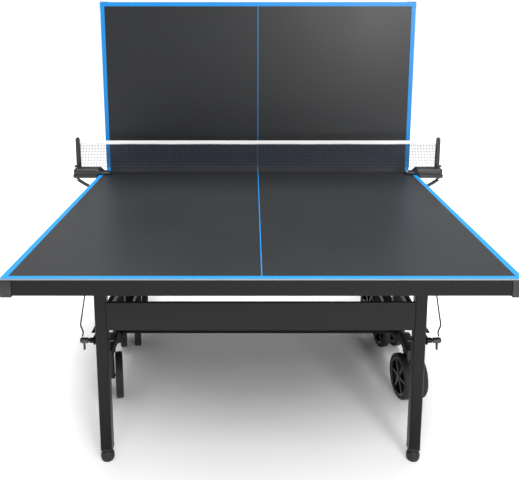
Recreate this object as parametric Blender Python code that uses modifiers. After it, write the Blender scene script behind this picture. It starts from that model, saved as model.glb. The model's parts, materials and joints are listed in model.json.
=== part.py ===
"""A folding table tennis table made of two half tables.

Each half rolls on its own trolley with four twin wheel casters. Its top turns about two
pivots on the trolley's uprights, and a link on each side keeps the legs upright while it
turns. The near half is down for play. The far half is tipped up as a rebound board, and
its trolley has rolled in under the near half.

Every piece is modelled once, for a half table whose net edge is at y = 0 and whose end
is at y = +1.37, standing down. The near half is that model turned round, and the far
half is that model moved and folded.
"""

import math

import bmesh
import bpy
from mathutils import Matrix, Vector

# Playing surface
HALF_LENGTH = 1.370
HALF_WIDTH = 0.7625
SURFACE_Z = 0.760
PANEL = 0.006
PANEL_BEVEL = 0.0008

# Clearances, sheet metal, and how far a cutting shape goes past what it cuts
GAP = 0.0003
FIT = 0.0005
WALL = 0.002
LAP = 0.001
OVERCUT = 0.010

# Frame under the top
FRAME_X = HALF_WIDTH - FIT
FRAME_NET_Y = 0.030
FRAME_END_Y = HALF_LENGTH - FIT
FRAME_TOP_Z = SURFACE_Z - PANEL - GAP
FRAME_BOTTOM_Z = 0.7063
FLANGE = 0.025
MEMBER = 0.030
MEMBER_Y = (0.200, 0.800, 1.125)
CARRIER_X = (0.6275, 0.6575)
CARRIER_PAST = 0.010
THROUGH_Z = (0.6, 0.8)

# Corner caps
CAP_LEG = 0.036
CAP_PROUD = 0.0023
CAP_BOTTOM_Z = 0.7013
CAP_FLOOR = 0.0047
CAP_WIDTH = 0.020
CAP_CUT_X = 0.5
CAP_CUT = 0.1

# Fold mechanism: the top's pivot, the leg's hinge, and the link between them
PIVOT_Y = 0.496
PIVOT_Z = 0.7015
LEG_Y = 1.125
LINK_Z = 0.443
PLATE_BOTTOM_Z = PIVOT_Z - 0.020
PIVOT_PLATE_X = (0.6225, 0.6280)
PIVOT_PLATE_HALF = 0.030
PIVOT_PLATE_DROP = 0.0087
PIVOT_HOLE_X = (0.60, 0.65)
HINGE_PLATE_X = ((0.4995, 0.5045), (0.5510, 0.5560))
HINGE_PLATE_HALF = 0.018
HINGE_HOLE_X = (0.48, 0.58)
HINGE_HOLE_RADIUS = 0.0065
PLATE_MOST = 0.010

# Trolley
RAIL_X = (0.575, 0.620)
RAIL_END_Z = (0.196, 0.232)
RAIL_DROP_Z = (0.162, 0.200)
RAIL_OUTLINE = (
    (0.196, RAIL_END_Z[0]), (0.336, RAIL_END_Z[0]), (0.392, RAIL_DROP_Z[0]),
    (0.600, RAIL_DROP_Z[0]), (0.630, RAIL_END_Z[0]), (0.796, RAIL_END_Z[0]),
    (0.796, RAIL_END_Z[1]), (0.640, RAIL_END_Z[1]), (0.604, RAIL_DROP_Z[1]),
    (0.360, RAIL_DROP_Z[1]), (0.304, RAIL_END_Z[1]), (0.196, RAIL_END_Z[1]),
)
UPRIGHT_X = (0.576, 0.619)
UPRIGHT_Y = (0.476, 0.516)
UPRIGHT_TOP_Z = 0.7205
LOW_TUBE_Y = (0.479, 0.513)
LOW_TUBE_Z = (0.163, 0.197)
HIGH_TUBE_Y = (0.481, 0.511)
HIGH_TUBE_Z = (0.355, 0.385)
STEM_RADIUS = 0.008
STEM_HOLE_Z = (0.15, 0.20)
STUDS = (
    ((0.6175, 0.634), STEM_RADIUS, PIVOT_Z, 8), ((0.630, 0.6375), 0.012, PIVOT_Z, 6),
    ((0.5485, 0.5775), 0.005, LINK_Z, 8), ((0.5485, 0.5510), 0.008, LINK_Z, 8),
)

# Casters
SWIVEL_X = 0.5975
SWIVEL_Y = (0.278, 0.714)
WHEEL_RADIUS = 0.090
WHEEL_SIDES = 16
TRAIL = 0.015
CASTER_PLATE_Z = (0.1845, 0.1957)
CASTER_PLATE_RADIUS = 0.022
STEM_Z = (0.190, 0.206)
HEAD_Z = (0.2005, 0.212)
HEAD_RADIUS = 0.012
WEB_TOP = ((0.021, 0.190), (-0.021, 0.190))
WEB_HALF = 0.0145
AXLE_BOSS_RADIUS = 0.014
AXLE_BORE_RADIUS = 0.0065
AXLE_BORE_X = (-0.03, 0.03)
AXLE_RADIUS = 0.006
HUB_RADIUS = 0.066
HUB_X = 0.036
TYRE_X = (0.0175, 0.0465)
TYRE_EDGE = 0.005

# Legs and feet
LEG_X = (0.5077, 0.5477)
LEG_HALF_DEPTH = 0.020
LEG_BOTTOM_Z = 0.0455
LEG_MID_X = (LEG_X[0] + LEG_X[1]) / 2
BEAM_Z = (0.487, 0.587)
BEAM_Y = (1.133, 1.145)
HINGE_PIN_X = (0.492, 0.572)
HINGE_PIN_RADIUS = 0.006
LEG_PLUG = 0.004
LEG_HOLLOW_TOP_Z = 0.690
FOOT_HOLE_Z = (0.0, 0.06)
FOOT_HOLE_RADIUS = 0.0125
LOCK_HOLE_RADIUS = 0.0058
FOOT_STEM_RADIUS = 0.012
FOOT_STEM_TOP_Z = 0.080
FOOT_BALL = ((0.018, 0.036), (0.0235, 0.022), (0.0235, 0.010), (0.019, 0.0))

# Links, lock pins and release wires. Profiles are (radius, distance from the centre line)
LINK_X = (0.5530, 0.5715)
LINK_RADIUS = 0.015
LINK_WEB = 0.003
LINK_EYE = 0.040
LINK_CHANNEL_HALF = 0.0125
LINK_HOLE_X = (0.54, 0.60)
LINK_HOLE_RADII = (0.0060, 0.0062)
LOCK_SHAFT_X = (0.490, 0.5765)
LOCK_SHAFT_RADIUS = 0.005
PULL_KNOB = (
    (0.0, 0.603), (0.006, 0.603), (0.0092, 0.6005), (0.010, 0.596), (0.010, 0.582),
    (0.007, 0.5745), (0.0, 0.5745),
)
WIRE_RADIUS = 0.0025
WIRE_HOOK_X = 0.5645
WIRE_HOOK_RADIUS = 0.0095
WIRE_HOOK_ANGLES = (-30.0, 250.0)
WIRE_RUN = (
    (0.5665, 0.680), (0.5800, 0.605), (0.5935, 0.530), (0.5986, 0.4977), (0.5920, 0.4740),
    (0.5950, 0.4558),
)

# Net set, on the near half
NET_X = 0.8645
NET_Y = (-0.0052, -0.0032)
NET_Z = (0.784, 0.9145)
POST_X = (0.865, 0.887)
POST_Y = (-0.011, 0.003)
POST_TOP_Z = 0.9315
ARM_X = 0.705
ARM_Y = (-0.002, 0.075)
ARM_TOP_Z = 0.789
CLAMP_X = 0.768
CLAMP_Z = (0.745, 0.765)
JAW_PIVOT = (0.868, 0.738)
JAW_EYE_RADIUS = 0.0065
JAW_Y = (0.050, 0.072)
JAW_FINGER = ((0.792, 0.700), (0.740, 0.700), (0.736, 0.697), (0.738, 0.688), (0.795, 0.688))
NET_KNOB_PLACE = (-0.004, 0.787)
NET_KNOB = ((0.0, 0.898), (0.0048, 0.898), (0.006, 0.8965))
NET_KNOB_RADIUS = 0.006

# How the halves stand: turn about Z, shift along Y and fold of the top
FAR_SHIFT = -0.3335
HALVES = {
    "near": (math.pi, 0.0, 0.0),
    "far": (0.0, FAR_SHIFT, math.pi / 2),
}
CASTER_TURN = {
    "near": {(-1, 0): 10.0, (1, 0): 11.0, (-1, 1): 10.0, (1, 1): 12.0},
    "far": {(-1, 0): 8.0, (1, 0): 15.0, (-1, 1): 12.0, (1, 1): 5.0},
}


def new_collection(name):
    """A collection linked to the scene."""
    collection = bpy.data.collections.new(name)
    bpy.context.scene.collection.children.link(collection)
    return collection


def new_material(name, colour, roughness, metallic=0.0):
    """A Principled material with one colour."""
    material = bpy.data.materials.new(name)
    material.use_nodes = True
    shader = material.node_tree.nodes["Principled BSDF"]
    shader.inputs["Base Color"].default_value = (*colour, 1.0)
    shader.inputs["Roughness"].default_value = roughness
    shader.inputs["Metallic"].default_value = metallic
    return material


def on_bench(data):
    """A loose object for a mesh or curve, in the bench collection while it is worked on."""
    obj = bpy.data.objects.new("work", data)
    bpy.data.collections["bench"].objects.link(obj)
    return obj


def bake(obj):
    """Replaces the object by a mesh object that looks as its modifiers or curve show it."""
    depsgraph = bpy.context.evaluated_depsgraph_get()
    depsgraph.update()
    mesh = bpy.data.meshes.new_from_object(obj.evaluated_get(depsgraph))
    solid = bmesh.new()
    solid.from_mesh(mesh)
    bmesh.ops.remove_doubles(solid, verts=solid.verts, dist=0.00001)
    bmesh.ops.recalc_face_normals(solid, faces=solid.faces)
    solid.to_mesh(mesh)
    solid.free()
    baked = on_bench(mesh)
    bpy.data.objects.remove(obj)
    return baked


def combine(base, tools, operation):
    """The base after a union with, or a cut by, each of the tools, which are used up."""
    for tool in tools:
        step = base.modifiers.new(operation, "BOOLEAN")
        step.operation = operation
        step.object = tool
    baked = bake(base)
    for tool in tools:
        bpy.data.objects.remove(tool)
    return baked


def join(base, *others):
    """One body out of solids that overlap."""
    return combine(base, others, "UNION")


def cut(base, *tools):
    """The base with the tools' shapes taken out of it."""
    return combine(base, tools, "DIFFERENCE")


def block(x, y, z):
    """A box between two values along each axis."""
    low = Vector(min(span) for span in (x, y, z))
    high = Vector(max(span) for span in (x, y, z))
    frame = Matrix.Translation((low + high) / 2) @ Matrix.Diagonal((*(high - low), 1.0))
    mesh = bpy.data.meshes.new("block")
    solid = bmesh.new()
    bmesh.ops.create_cube(solid, size=1.0, matrix=frame)
    solid.to_mesh(mesh)
    solid.free()
    return on_bench(mesh)


def rod_x(x, radius, y, z, segments=12):
    """A round bar along X."""
    centre = Vector(((x[0] + x[1]) / 2, y, z))
    frame = Matrix.Translation(centre) @ Matrix.Rotation(math.pi / 2, 4, "Y")
    mesh = bpy.data.meshes.new("rod")
    solid = bmesh.new()
    bmesh.ops.create_cone(solid, cap_ends=True, segments=segments, radius1=radius,
                          radius2=radius, depth=abs(x[1] - x[0]), matrix=frame)
    solid.to_mesh(mesh)
    solid.free()
    return on_bench(mesh)


def rod_z(z, radius, x, y, segments=12):
    """A round bar along Z."""
    frame = Matrix.Translation((x, y, (z[0] + z[1]) / 2))
    mesh = bpy.data.meshes.new("rod")
    solid = bmesh.new()
    bmesh.ops.create_cone(solid, cap_ends=True, segments=segments, radius1=radius,
                          radius2=radius, depth=z[1] - z[0], matrix=frame)
    solid.to_mesh(mesh)
    solid.free()
    return on_bench(mesh)


def turned(profile, segments, frame):
    """A profile of (radius, height) points, top to bottom, turned about Z and then placed."""
    mesh = bpy.data.meshes.new("profile")
    points = [(radius, 0.0, height) for radius, height in profile]
    mesh.from_pydata(points, [(i, i + 1) for i in range(len(points) - 1)], [])
    obj = on_bench(mesh)
    screw = obj.modifiers.new("turn", "SCREW")
    screw.steps = segments
    screw.render_steps = segments
    screw.use_merge_vertices = True
    screw.merge_threshold = 0.0001
    baked = bake(obj)
    baked.data.transform(frame)
    return baked


def arc(centre, radius, start, end, steps):
    """Points along an arc, with its angles in degrees."""
    angles = [math.radians(start + (end - start) * i / steps) for i in range(steps + 1)]
    return [(centre[0] + radius * math.cos(a), centre[1] + radius * math.sin(a)) for a in angles]


def prism(outline, span, along):
    """A flat outline in the plane across X or Y, given as (y, z) or (x, z), drawn out along it."""
    curve = bpy.data.curves.new("outline", "CURVE")
    curve.dimensions = "2D"
    curve.fill_mode = "BOTH"
    curve.extrude = abs(span[1] - span[0]) / 2
    spline = curve.splines.new("POLY")
    spline.points.add(len(outline) - 1)
    for point, (u, v) in zip(spline.points, outline):
        point.co = (v, u, 0.0, 1.0)
    spline.use_cyclic_u = True
    middle = (span[0] + span[1]) / 2
    if along == "X":
        frame = Matrix(((0, 0, -1, middle), (0, 1, 0, 0), (1, 0, 0, 0), (0, 0, 0, 1)))
    else:
        frame = Matrix(((0, 1, 0, 0), (0, 0, 1, middle), (1, 0, 0, 0), (0, 0, 0, 1)))
    baked = bake(on_bench(curve))
    baked.data.transform(frame)
    return baked


def wire(points, radius):
    """A round wire through the points, with closed ends."""
    curve = bpy.data.curves.new("wire", "CURVE")
    curve.dimensions = "3D"
    curve.bevel_depth = radius
    curve.bevel_resolution = 1
    curve.use_fill_caps = True
    spline = curve.splines.new("POLY")
    spline.points.add(len(points) - 1)
    for point, place in zip(spline.points, points):
        point.co = (*place, 1.0)
    return bake(on_bench(curve))


def inset(outline, wall):
    """A closed outline, given anticlockwise, moved inwards by a wall's thickness."""
    moved = []
    for i, here in enumerate(outline):
        before = Vector(outline[i - 1])
        after = Vector(outline[(i + 1) % len(outline)])
        first = (Vector(here) - before).normalized()
        second = (after - Vector(here)).normalized()
        inward = Vector((-first.y - second.y, first.x + second.x)).normalized()
        reach = wall / inward.dot(Vector((-first.y, first.x)))
        moved.append(tuple(Vector(here) + reach * inward))
    return moved


def sided(side, span):
    """A span of distances from the centre line, on one side of it."""
    return (side * span[0], side * span[1])


def top_panel():
    """The playing surface of one half, with its edges just broken."""
    panel = block((-HALF_WIDTH, HALF_WIDTH), (0.0, HALF_LENGTH), (SURFACE_Z - PANEL, SURFACE_Z))
    bevel = panel.modifiers.new("edge", "BEVEL")
    bevel.width = PANEL_BEVEL
    bevel.segments = 1
    return bake(panel)


def top_frame():
    """Rim channels, cross members and carriers, with the plates that take the two hinges."""
    height = (FRAME_BOTTOM_Z, FRAME_TOP_Z)
    open_z = (FRAME_BOTTOM_Z - OVERCUT, FRAME_TOP_Z - WALL)
    member_z = (FRAME_TOP_Z - MEMBER, FRAME_TOP_Z)
    half = MEMBER / 2
    inner_x = FRAME_X - FLANGE
    channel_x = FRAME_X - WALL
    frame = block((-FRAME_X, FRAME_X), (FRAME_NET_Y, FRAME_END_Y), height)
    hole = block((-inner_x, inner_x), (FRAME_NET_Y + FLANGE, FRAME_END_Y - FLANGE), THROUGH_Z)
    channel = block((-channel_x, channel_x), (FRAME_NET_Y + WALL, FRAME_END_Y - WALL),
                    (FRAME_BOTTOM_Z + WALL, FRAME_TOP_Z - WALL))
    net_rim_room = block((-inner_x, inner_x), (0.0, FRAME_NET_Y + FLANGE + LAP),
                         (THROUGH_Z[0], member_z[0]))
    frame = cut(frame, hole, channel, net_rim_room)
    reach = FRAME_X - LAP
    added = [block((-reach, reach), (y - half, y + half), member_z) for y in MEMBER_Y]
    taken = [block((-inner_x + WALL, inner_x - WALL), (y - half + WALL, y + half - WALL), open_z)
             for y in MEMBER_Y]
    holes = []
    for side in (-1, 1):
        added.append(block(sided(side, CARRIER_X),
                           (MEMBER_Y[0] - CARRIER_PAST, MEMBER_Y[1] + CARRIER_PAST), member_z))
        hollow_x = (CARRIER_X[0] + WALL, CARRIER_X[1] - WALL)
        taken.append(block(sided(side, hollow_x), (MEMBER_Y[0], MEMBER_Y[1]), open_z))
        added.append(block(sided(side, PIVOT_PLATE_X),
                           (PIVOT_Y - PIVOT_PLATE_HALF, PIVOT_Y + PIVOT_PLATE_HALF),
                           (PLATE_BOTTOM_Z, FRAME_TOP_Z - PIVOT_PLATE_DROP)))
        holes.append(rod_x(sided(side, PIVOT_HOLE_X), STEM_RADIUS + FIT, PIVOT_Y, PIVOT_Z))
        for plate_x in HINGE_PLATE_X:
            added.append(block(sided(side, plate_x),
                               (LEG_Y - HINGE_PLATE_HALF, LEG_Y + HINGE_PLATE_HALF),
                               (PLATE_BOTTOM_Z, FRAME_TOP_Z - LAP)))
        holes.append(rod_x(sided(side, HINGE_HOLE_X), HINGE_HOLE_RADIUS, LEG_Y, PIVOT_Z))
    plates = [piece for piece in added[3:] if piece.dimensions.x < PLATE_MOST]
    members = [piece for piece in added if piece not in plates]
    frame = cut(join(frame, *members), *taken)
    return cut(join(frame, *plates), *holes)


def corner_cap(side, end):
    """An angled cap round one corner of the frame. end is 0 at the net and 1 at the far end."""
    out_x = FRAME_X + CAP_PROUD + FIT
    if end:
        out_y, inward, frame_y = FRAME_END_Y + CAP_PROUD, -1, FRAME_END_Y + GAP
    else:
        out_y, inward, frame_y = FRAME_NET_Y - CAP_PROUD, 1, FRAME_NET_Y - GAP
    cap = block(sided(side, (out_x - CAP_LEG, out_x)), (out_y, out_y + inward * CAP_LEG),
                (CAP_BOTTOM_Z, FRAME_TOP_Z))
    frame_room = block(sided(side, (CAP_CUT_X, FRAME_X + GAP)), (frame_y, frame_y + inward * CAP_CUT),
                       (CAP_BOTTOM_Z + CAP_FLOOR, SURFACE_Z))
    notch = block(sided(side, (CAP_CUT_X, out_x - CAP_WIDTH)),
                  (out_y + inward * CAP_WIDTH, out_y + inward * CAP_CUT), THROUGH_Z)
    return cut(cap, frame_room, notch)


def leg(side):
    """A square tube leg with a round head, its hinge pin and the lock pin's hole."""
    outline = [(LEG_Y - LEG_HALF_DEPTH, LEG_BOTTOM_Z), (LEG_Y + LEG_HALF_DEPTH, LEG_BOTTOM_Z)]
    outline += arc((LEG_Y, PIVOT_Z), LEG_HALF_DEPTH, 0.0, 180.0, 8)
    tube = prism(outline, sided(side, LEG_X), "X")
    pin = rod_x(sided(side, HINGE_PIN_X), HINGE_PIN_RADIUS, LEG_Y, PIVOT_Z, 8)
    inside_x = (LEG_X[0] + WALL, LEG_X[1] - WALL)
    inside_y = (LEG_Y - LEG_HALF_DEPTH + WALL, LEG_Y + LEG_HALF_DEPTH - WALL)
    cavity = block(sided(side, inside_x), inside_y, (LEG_BOTTOM_Z + LEG_PLUG, LEG_HOLLOW_TOP_Z))
    foot_hole = rod_z(FOOT_HOLE_Z, FOOT_HOLE_RADIUS, side * LEG_MID_X, LEG_Y, 16)
    pin_hole = rod_x(sided(side, HINGE_HOLE_X), LOCK_HOLE_RADIUS, LEG_Y, LINK_Z)
    return cut(join(tube, pin), cavity, foot_hole, pin_hole)


def leg_beam():
    """The wide channel between the legs, flush with their outer faces."""
    reach = LEG_X[0] - FIT
    beam = block((-reach, reach), BEAM_Y, BEAM_Z)
    hollow = block((-reach + WALL, reach - WALL), (BEAM_Y[0] - OVERCUT, BEAM_Y[1] - WALL),
                   (BEAM_Z[0] + WALL, BEAM_Z[1] - WALL))
    return cut(beam, hollow)


def foot(side):
    """A levelling foot whose stem goes up into the leg."""
    profile = [(0.0, FOOT_STEM_TOP_Z), (FOOT_STEM_RADIUS, FOOT_STEM_TOP_Z),
               (FOOT_STEM_RADIUS, LEG_BOTTOM_Z - GAP), *FOOT_BALL, (0.0, 0.0)]
    return turned(profile, 16, Matrix.Translation((side * LEG_MID_X, LEG_Y, 0.0)))


def link(side):
    """The pressed channel that ties a leg to the trolley."""
    outline = arc((PIVOT_Y, LINK_Z), LINK_RADIUS, 90.0, 270.0, 8)
    outline += arc((LEG_Y, LINK_Z), LINK_RADIUS, -90.0, 90.0, 8)
    bar = prism(outline, sided(side, LINK_X), "X")
    channel = block(sided(side, (LINK_X[0] + LINK_WEB, LINK_HOLE_X[1])),
                    (PIVOT_Y + LINK_EYE, LEG_Y - LINK_EYE),
                    (LINK_Z - LINK_CHANNEL_HALF, LINK_Z + LINK_CHANNEL_HALF))
    near_hole = rod_x(sided(side, LINK_HOLE_X), LINK_HOLE_RADII[0], PIVOT_Y, LINK_Z)
    far_hole = rod_x(sided(side, LINK_HOLE_X), LINK_HOLE_RADII[1], LEG_Y, LINK_Z)
    return cut(bar, channel, near_hole, far_hole)


def lock_pin(side):
    """The spring pin that joins the leg and the link, with its pull knob."""
    shaft = rod_x(sided(side, LOCK_SHAFT_X), LOCK_SHAFT_RADIUS, LEG_Y, LINK_Z, 8)
    frame = Matrix.Translation((0.0, LEG_Y, LINK_Z)) @ Matrix.Rotation(side * math.pi / 2, 4, "Y")
    return join(turned(PULL_KNOB, 12, frame), shaft)


def release_wire(side):
    """The wire that hooks round the leg's hinge pin and comes down to the pull knob."""
    hook = arc((LEG_Y, PIVOT_Z), WIRE_HOOK_RADIUS, *WIRE_HOOK_ANGLES, 8)
    points = [(side * WIRE_HOOK_X, y, z) for y, z in hook]
    points += [(side * x, LEG_Y, z) for x, z in WIRE_RUN]
    return wire(points, WIRE_RADIUS)


def trolley_frame():
    """Two floor rails, two uprights and two cross tubes, welded into one hollow frame."""
    shell, hollow = [], []
    for side in (-1, 1):
        rail_x = sided(side, (RAIL_X[0] + WALL, RAIL_X[1] - WALL))
        upright_x = sided(side, (UPRIGHT_X[0] + WALL, UPRIGHT_X[1] - WALL))
        shell.append(prism(RAIL_OUTLINE, sided(side, RAIL_X), "X"))
        shell.append(block(sided(side, UPRIGHT_X), UPRIGHT_Y,
                           (RAIL_DROP_Z[1] - LAP, UPRIGHT_TOP_Z)))
        hollow.append(prism(inset(RAIL_OUTLINE, WALL), rail_x, "X"))
        hollow.append(block(upright_x, (UPRIGHT_Y[0] + WALL, UPRIGHT_Y[1] - WALL),
                            (RAIL_DROP_Z[1] - OVERCUT, UPRIGHT_TOP_Z + OVERCUT)))
        for y in SWIVEL_Y:
            hollow.append(rod_z(STEM_HOLE_Z, STEM_RADIUS + FIT, side * SWIVEL_X, y))
    for y, z in ((LOW_TUBE_Y, LOW_TUBE_Z), (HIGH_TUBE_Y, HIGH_TUBE_Z)):
        reach = UPRIGHT_X[0] + LAP
        shell.append(block((-reach, reach), y, z))
        hollow.append(block((-RAIL_X[1] + OVERCUT, RAIL_X[1] - OVERCUT),
                            (y[0] + WALL, y[1] - WALL), (z[0] + WALL, z[1] - WALL)))
    frame = cut(join(shell[0], *shell[1:]), *hollow)
    studs = [rod_x(sided(side, x), radius, PIVOT_Y, z, segments) for side in (-1, 1)
             for x, radius, z, segments in STUDS]
    return join(frame, *studs)


def caster_fork():
    """A caster's top plate, stem and middle web, about its swivel axis, trailing to +y."""
    plate = rod_z(CASTER_PLATE_Z, CASTER_PLATE_RADIUS, 0.0, 0.0)
    stem = rod_z(STEM_Z, STEM_RADIUS, 0.0, 0.0, 8)
    head = rod_z(HEAD_Z, HEAD_RADIUS, 0.0, 0.0, 8)
    outline = [*WEB_TOP, *arc((TRAIL, WHEEL_RADIUS), AXLE_BOSS_RADIUS, 180.0, 360.0, 6)]
    web = prism(outline, (-WEB_HALF, WEB_HALF), "X")
    bore = rod_x(AXLE_BORE_X, AXLE_BORE_RADIUS, TRAIL, WHEEL_RADIUS)
    return cut(join(plate, web, stem, head), bore)


def wheel_pair():
    """Two wheels on their axle, about the axle's middle, one flat of each tyre down."""
    tread = WHEEL_RADIUS / math.cos(math.pi / WHEEL_SIDES)
    inner, outer = TYRE_X
    half = [(0.0, HUB_X), (HUB_RADIUS, HUB_X), (HUB_RADIUS, outer), (tread - TYRE_EDGE, outer),
            (tread, outer - TYRE_EDGE), (tread, inner + TYRE_EDGE), (tread - TYRE_EDGE, inner),
            (AXLE_RADIUS, inner)]
    profile = half + [(radius, -height) for radius, height in reversed(half)]
    sideways = Matrix.Rotation(math.pi / 2, 4, "Y")
    one_flat_down = Matrix.Rotation(math.pi / WHEEL_SIDES, 4, "Z")
    return turned(profile, WHEEL_SIDES, sideways @ one_flat_down)


def net_bracket(side):
    """A post with the arm that lies on the top and the block that takes the jaw."""
    post = block(sided(side, POST_X), POST_Y, (CLAMP_Z[0], POST_TOP_Z))
    arm = block(sided(side, (ARM_X, POST_X[1])), ARM_Y, (SURFACE_Z + FIT, ARM_TOP_Z))
    clamp = block(sided(side, (CLAMP_X, POST_X[1])), ARM_Y, CLAMP_Z)
    return join(post, arm, clamp)


def net_jaw(side):
    """The clamp's lower jaw, from its pivot down and in under the top."""
    outline = [*arc(JAW_PIVOT, JAW_EYE_RADIUS, -60.0, 120.0, 6), *JAW_FINGER]
    return prism([(side * x, z) for x, z in outline], JAW_Y, "Y")


def net_knob(side):
    """The small knob that tightens the net's cord, outside the post."""
    profile = [*NET_KNOB, (NET_KNOB_RADIUS, POST_X[1] + GAP), (0.0, POST_X[1] + GAP)]
    frame = (Matrix.Translation((0.0, *NET_KNOB_PLACE))
             @ Matrix.Rotation(side * math.pi / 2, 4, "Y"))
    return turned(profile, 12, frame)


def net_sheet():
    """The net with its tape, as one thin sheet."""
    return block((-NET_X, NET_X), NET_Y, NET_Z)


def empty(name, place, parent=None, turn=(0.0, 0.0, 0.0)):
    """A guide that marks a joint's axis."""
    guide = bpy.data.objects.new(name, None)
    guide.empty_display_size = 0.05
    guide.location = place
    guide.rotation_euler = turn
    guide.parent = parent
    bpy.data.collections["guides"].objects.link(guide)
    return guide


def put(name, mesh, material, parent, at):
    """A finished piece under its guide, which stands at that place of the half table."""
    obj = bpy.data.objects.new(name, mesh)
    if not mesh.materials:
        mesh.materials.append(material)
    obj.parent = parent
    obj.location = -Vector(at)
    bpy.data.collections["ping_pong_table"].objects.link(obj)
    return obj


def as_mesh(obj):
    """The object's mesh, shaded smooth where it is round. The object is used up."""
    mesh = obj.data
    bpy.data.objects.remove(obj)
    mesh.shade_smooth()
    mesh.set_sharp_from_angle(angle=math.radians(30))
    return mesh


def half_meshes():
    """Every mesh of a half table, by piece and side."""
    meshes = {
        "top_panel": as_mesh(top_panel()),
        "top_frame": as_mesh(top_frame()),
        "trolley_frame": as_mesh(trolley_frame()),
        "leg_beam": as_mesh(leg_beam()),
        "caster_fork": as_mesh(caster_fork()),
        "caster_wheels": as_mesh(wheel_pair()),
    }
    for side in (-1, 1):
        for make in (leg, foot, link, lock_pin, release_wire):
            meshes[make.__name__, side] = as_mesh(make(side))
        for end in (0, 1):
            meshes["corner_cap", side, end] = as_mesh(corner_cap(side, end))
    return meshes


def build_half(name, meshes, finish):
    """One half table under its guides. Returns the half's own guide and its top's guide."""
    turn, shift, fold = HALVES[name]
    half = empty(f"{name}_half", (0.0, shift, 0.0), turn=(0.0, 0.0, turn))
    pivot = Vector((0.0, PIVOT_Y, PIVOT_Z))
    hinge = Vector((0.0, LEG_Y, PIVOT_Z))
    link_end = Vector((0.0, PIVOT_Y, LINK_Z))
    top = empty(f"{name}_top_pivot", pivot, half, (fold, 0.0, 0.0))
    legs = empty(f"{name}_leg_hinge", hinge - pivot, top, (-fold, 0.0, 0.0))
    links = empty(f"{name}_link_pivot", link_end, half, (fold, 0.0, 0.0))
    put(f"{name}_trolley_frame", meshes["trolley_frame"], finish["steel"], half, (0, 0, 0))
    put(f"{name}_top_panel", meshes["top_panel"], finish["laminate"], top, pivot)
    put(f"{name}_top_frame", meshes["top_frame"], finish["steel"], top, pivot)
    put(f"{name}_leg_beam", meshes["leg_beam"], finish["steel"], legs, hinge)
    for side in (-1, 1):
        seen = side * math.cos(turn)
        word = "right" if seen > 0 else "left"
        put(f"{name}_leg_{word}", meshes["leg", side], finish["steel"], legs, hinge)
        put(f"{name}_foot_{word}", meshes["foot", side], finish["rubber"], legs, hinge)
        put(f"{name}_link_{word}", meshes["link", side], finish["steel"], links, link_end)
        put(f"{name}_lock_pin_{word}", meshes["lock_pin", side], finish["plastic"], legs, hinge)
        put(f"{name}_release_wire_{word}", meshes["release_wire", side], finish["wire"], legs,
            hinge)
        for end, place in enumerate(("net", "end")):
            put(f"{name}_corner_cap_{place}_{word}", meshes["corner_cap", side, end],
                finish["plastic"], top, pivot)
            yaw = math.radians(CASTER_TURN[name][side, end])
            swivel = empty(f"{name}_swivel_{place}_{word}", (side * SWIVEL_X, SWIVEL_Y[end], 0.0),
                           half, (0.0, 0.0, yaw))
            axle = empty(f"{name}_axle_{place}_{word}", (0.0, TRAIL, WHEEL_RADIUS), swivel)
            put(f"{name}_caster_fork_{place}_{word}", meshes["caster_fork"], finish["plastic"],
                swivel, (0, 0, 0))
            put(f"{name}_caster_wheels_{place}_{word}", meshes["caster_wheels"], finish["tyre"],
                axle, (0, 0, 0))
    return half, top


def build_net(top, finish):
    """The net set, which is clamped to the near top at the net edge."""
    pivot = Vector((0.0, PIVOT_Y, PIVOT_Z))
    put("net", as_mesh(net_sheet()), finish["net"], top, pivot)
    for side, word in ((1, "left"), (-1, "right")):
        put(f"net_bracket_{word}", as_mesh(net_bracket(side)), finish["plastic"], top, pivot)
        jaw_place = Vector((side * JAW_PIVOT[0], 0.0, JAW_PIVOT[1]))
        jaw_guide = empty(f"net_jaw_pivot_{word}", jaw_place - pivot, top)
        put(f"net_jaw_{word}", as_mesh(net_jaw(side)), finish["plastic"], jaw_guide, jaw_place)
        put(f"net_knob_{word}", as_mesh(net_knob(side)), finish["plastic"], top, pivot)


def centre_over_origin(halves):
    """Moves both halves so that the whole table's box stands centred on the origin."""
    bpy.context.view_layer.update()
    pieces = bpy.data.collections["ping_pong_table"].objects
    depths = [(piece.matrix_world @ Vector(corner)).y for piece in pieces
              for corner in piece.bound_box]
    middle = (min(depths) + max(depths)) / 2
    for half in halves:
        half.location.y -= middle


def main():
    """Builds the two halves and the net set."""
    for obj in list(bpy.data.objects):
        bpy.data.objects.remove(obj, do_unlink=True)
    new_collection("ping_pong_table")
    new_collection("guides")
    bench = new_collection("bench")
    finish = {
        "laminate": new_material("anthracite_laminate", (0.035, 0.038, 0.041), 0.35),
        "steel": new_material("black_powder_coat", (0.020, 0.021, 0.023), 0.50, 0.3),
        "plastic": new_material("black_plastic", (0.018, 0.018, 0.020), 0.45),
        "rubber": new_material("foot_rubber", (0.025, 0.025, 0.027), 0.70),
        "tyre": new_material("tyre_grey", (0.030, 0.030, 0.032), 0.60),
        "wire": new_material("wire_steel", (0.030, 0.030, 0.032), 0.35, 0.6),
        "net": new_material("net_cord", (0.020, 0.030, 0.060), 0.80),
    }
    meshes = half_meshes()
    near, near_top = build_half("near", meshes, finish)
    far, _ = build_half("far", meshes, finish)
    build_net(near_top, finish)
    centre_over_origin((near, far))
    bpy.data.collections.remove(bench)


main()
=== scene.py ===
"""Looks of a folding table tennis table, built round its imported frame.

The near half is down for play and the far half is tipped up as a rebound board. Pieces are worked
out in a half table's own places: x across, y from the net edge towards the free end, z up, with
the top level. HalfPlace then carries them to where each half's groups of pieces stand.
"""
from __future__ import annotations

import json
import logging
import math
from dataclasses import dataclass
from enum import Enum
from typing import Any, Callable, ClassVar, Mapping, Sequence

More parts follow.
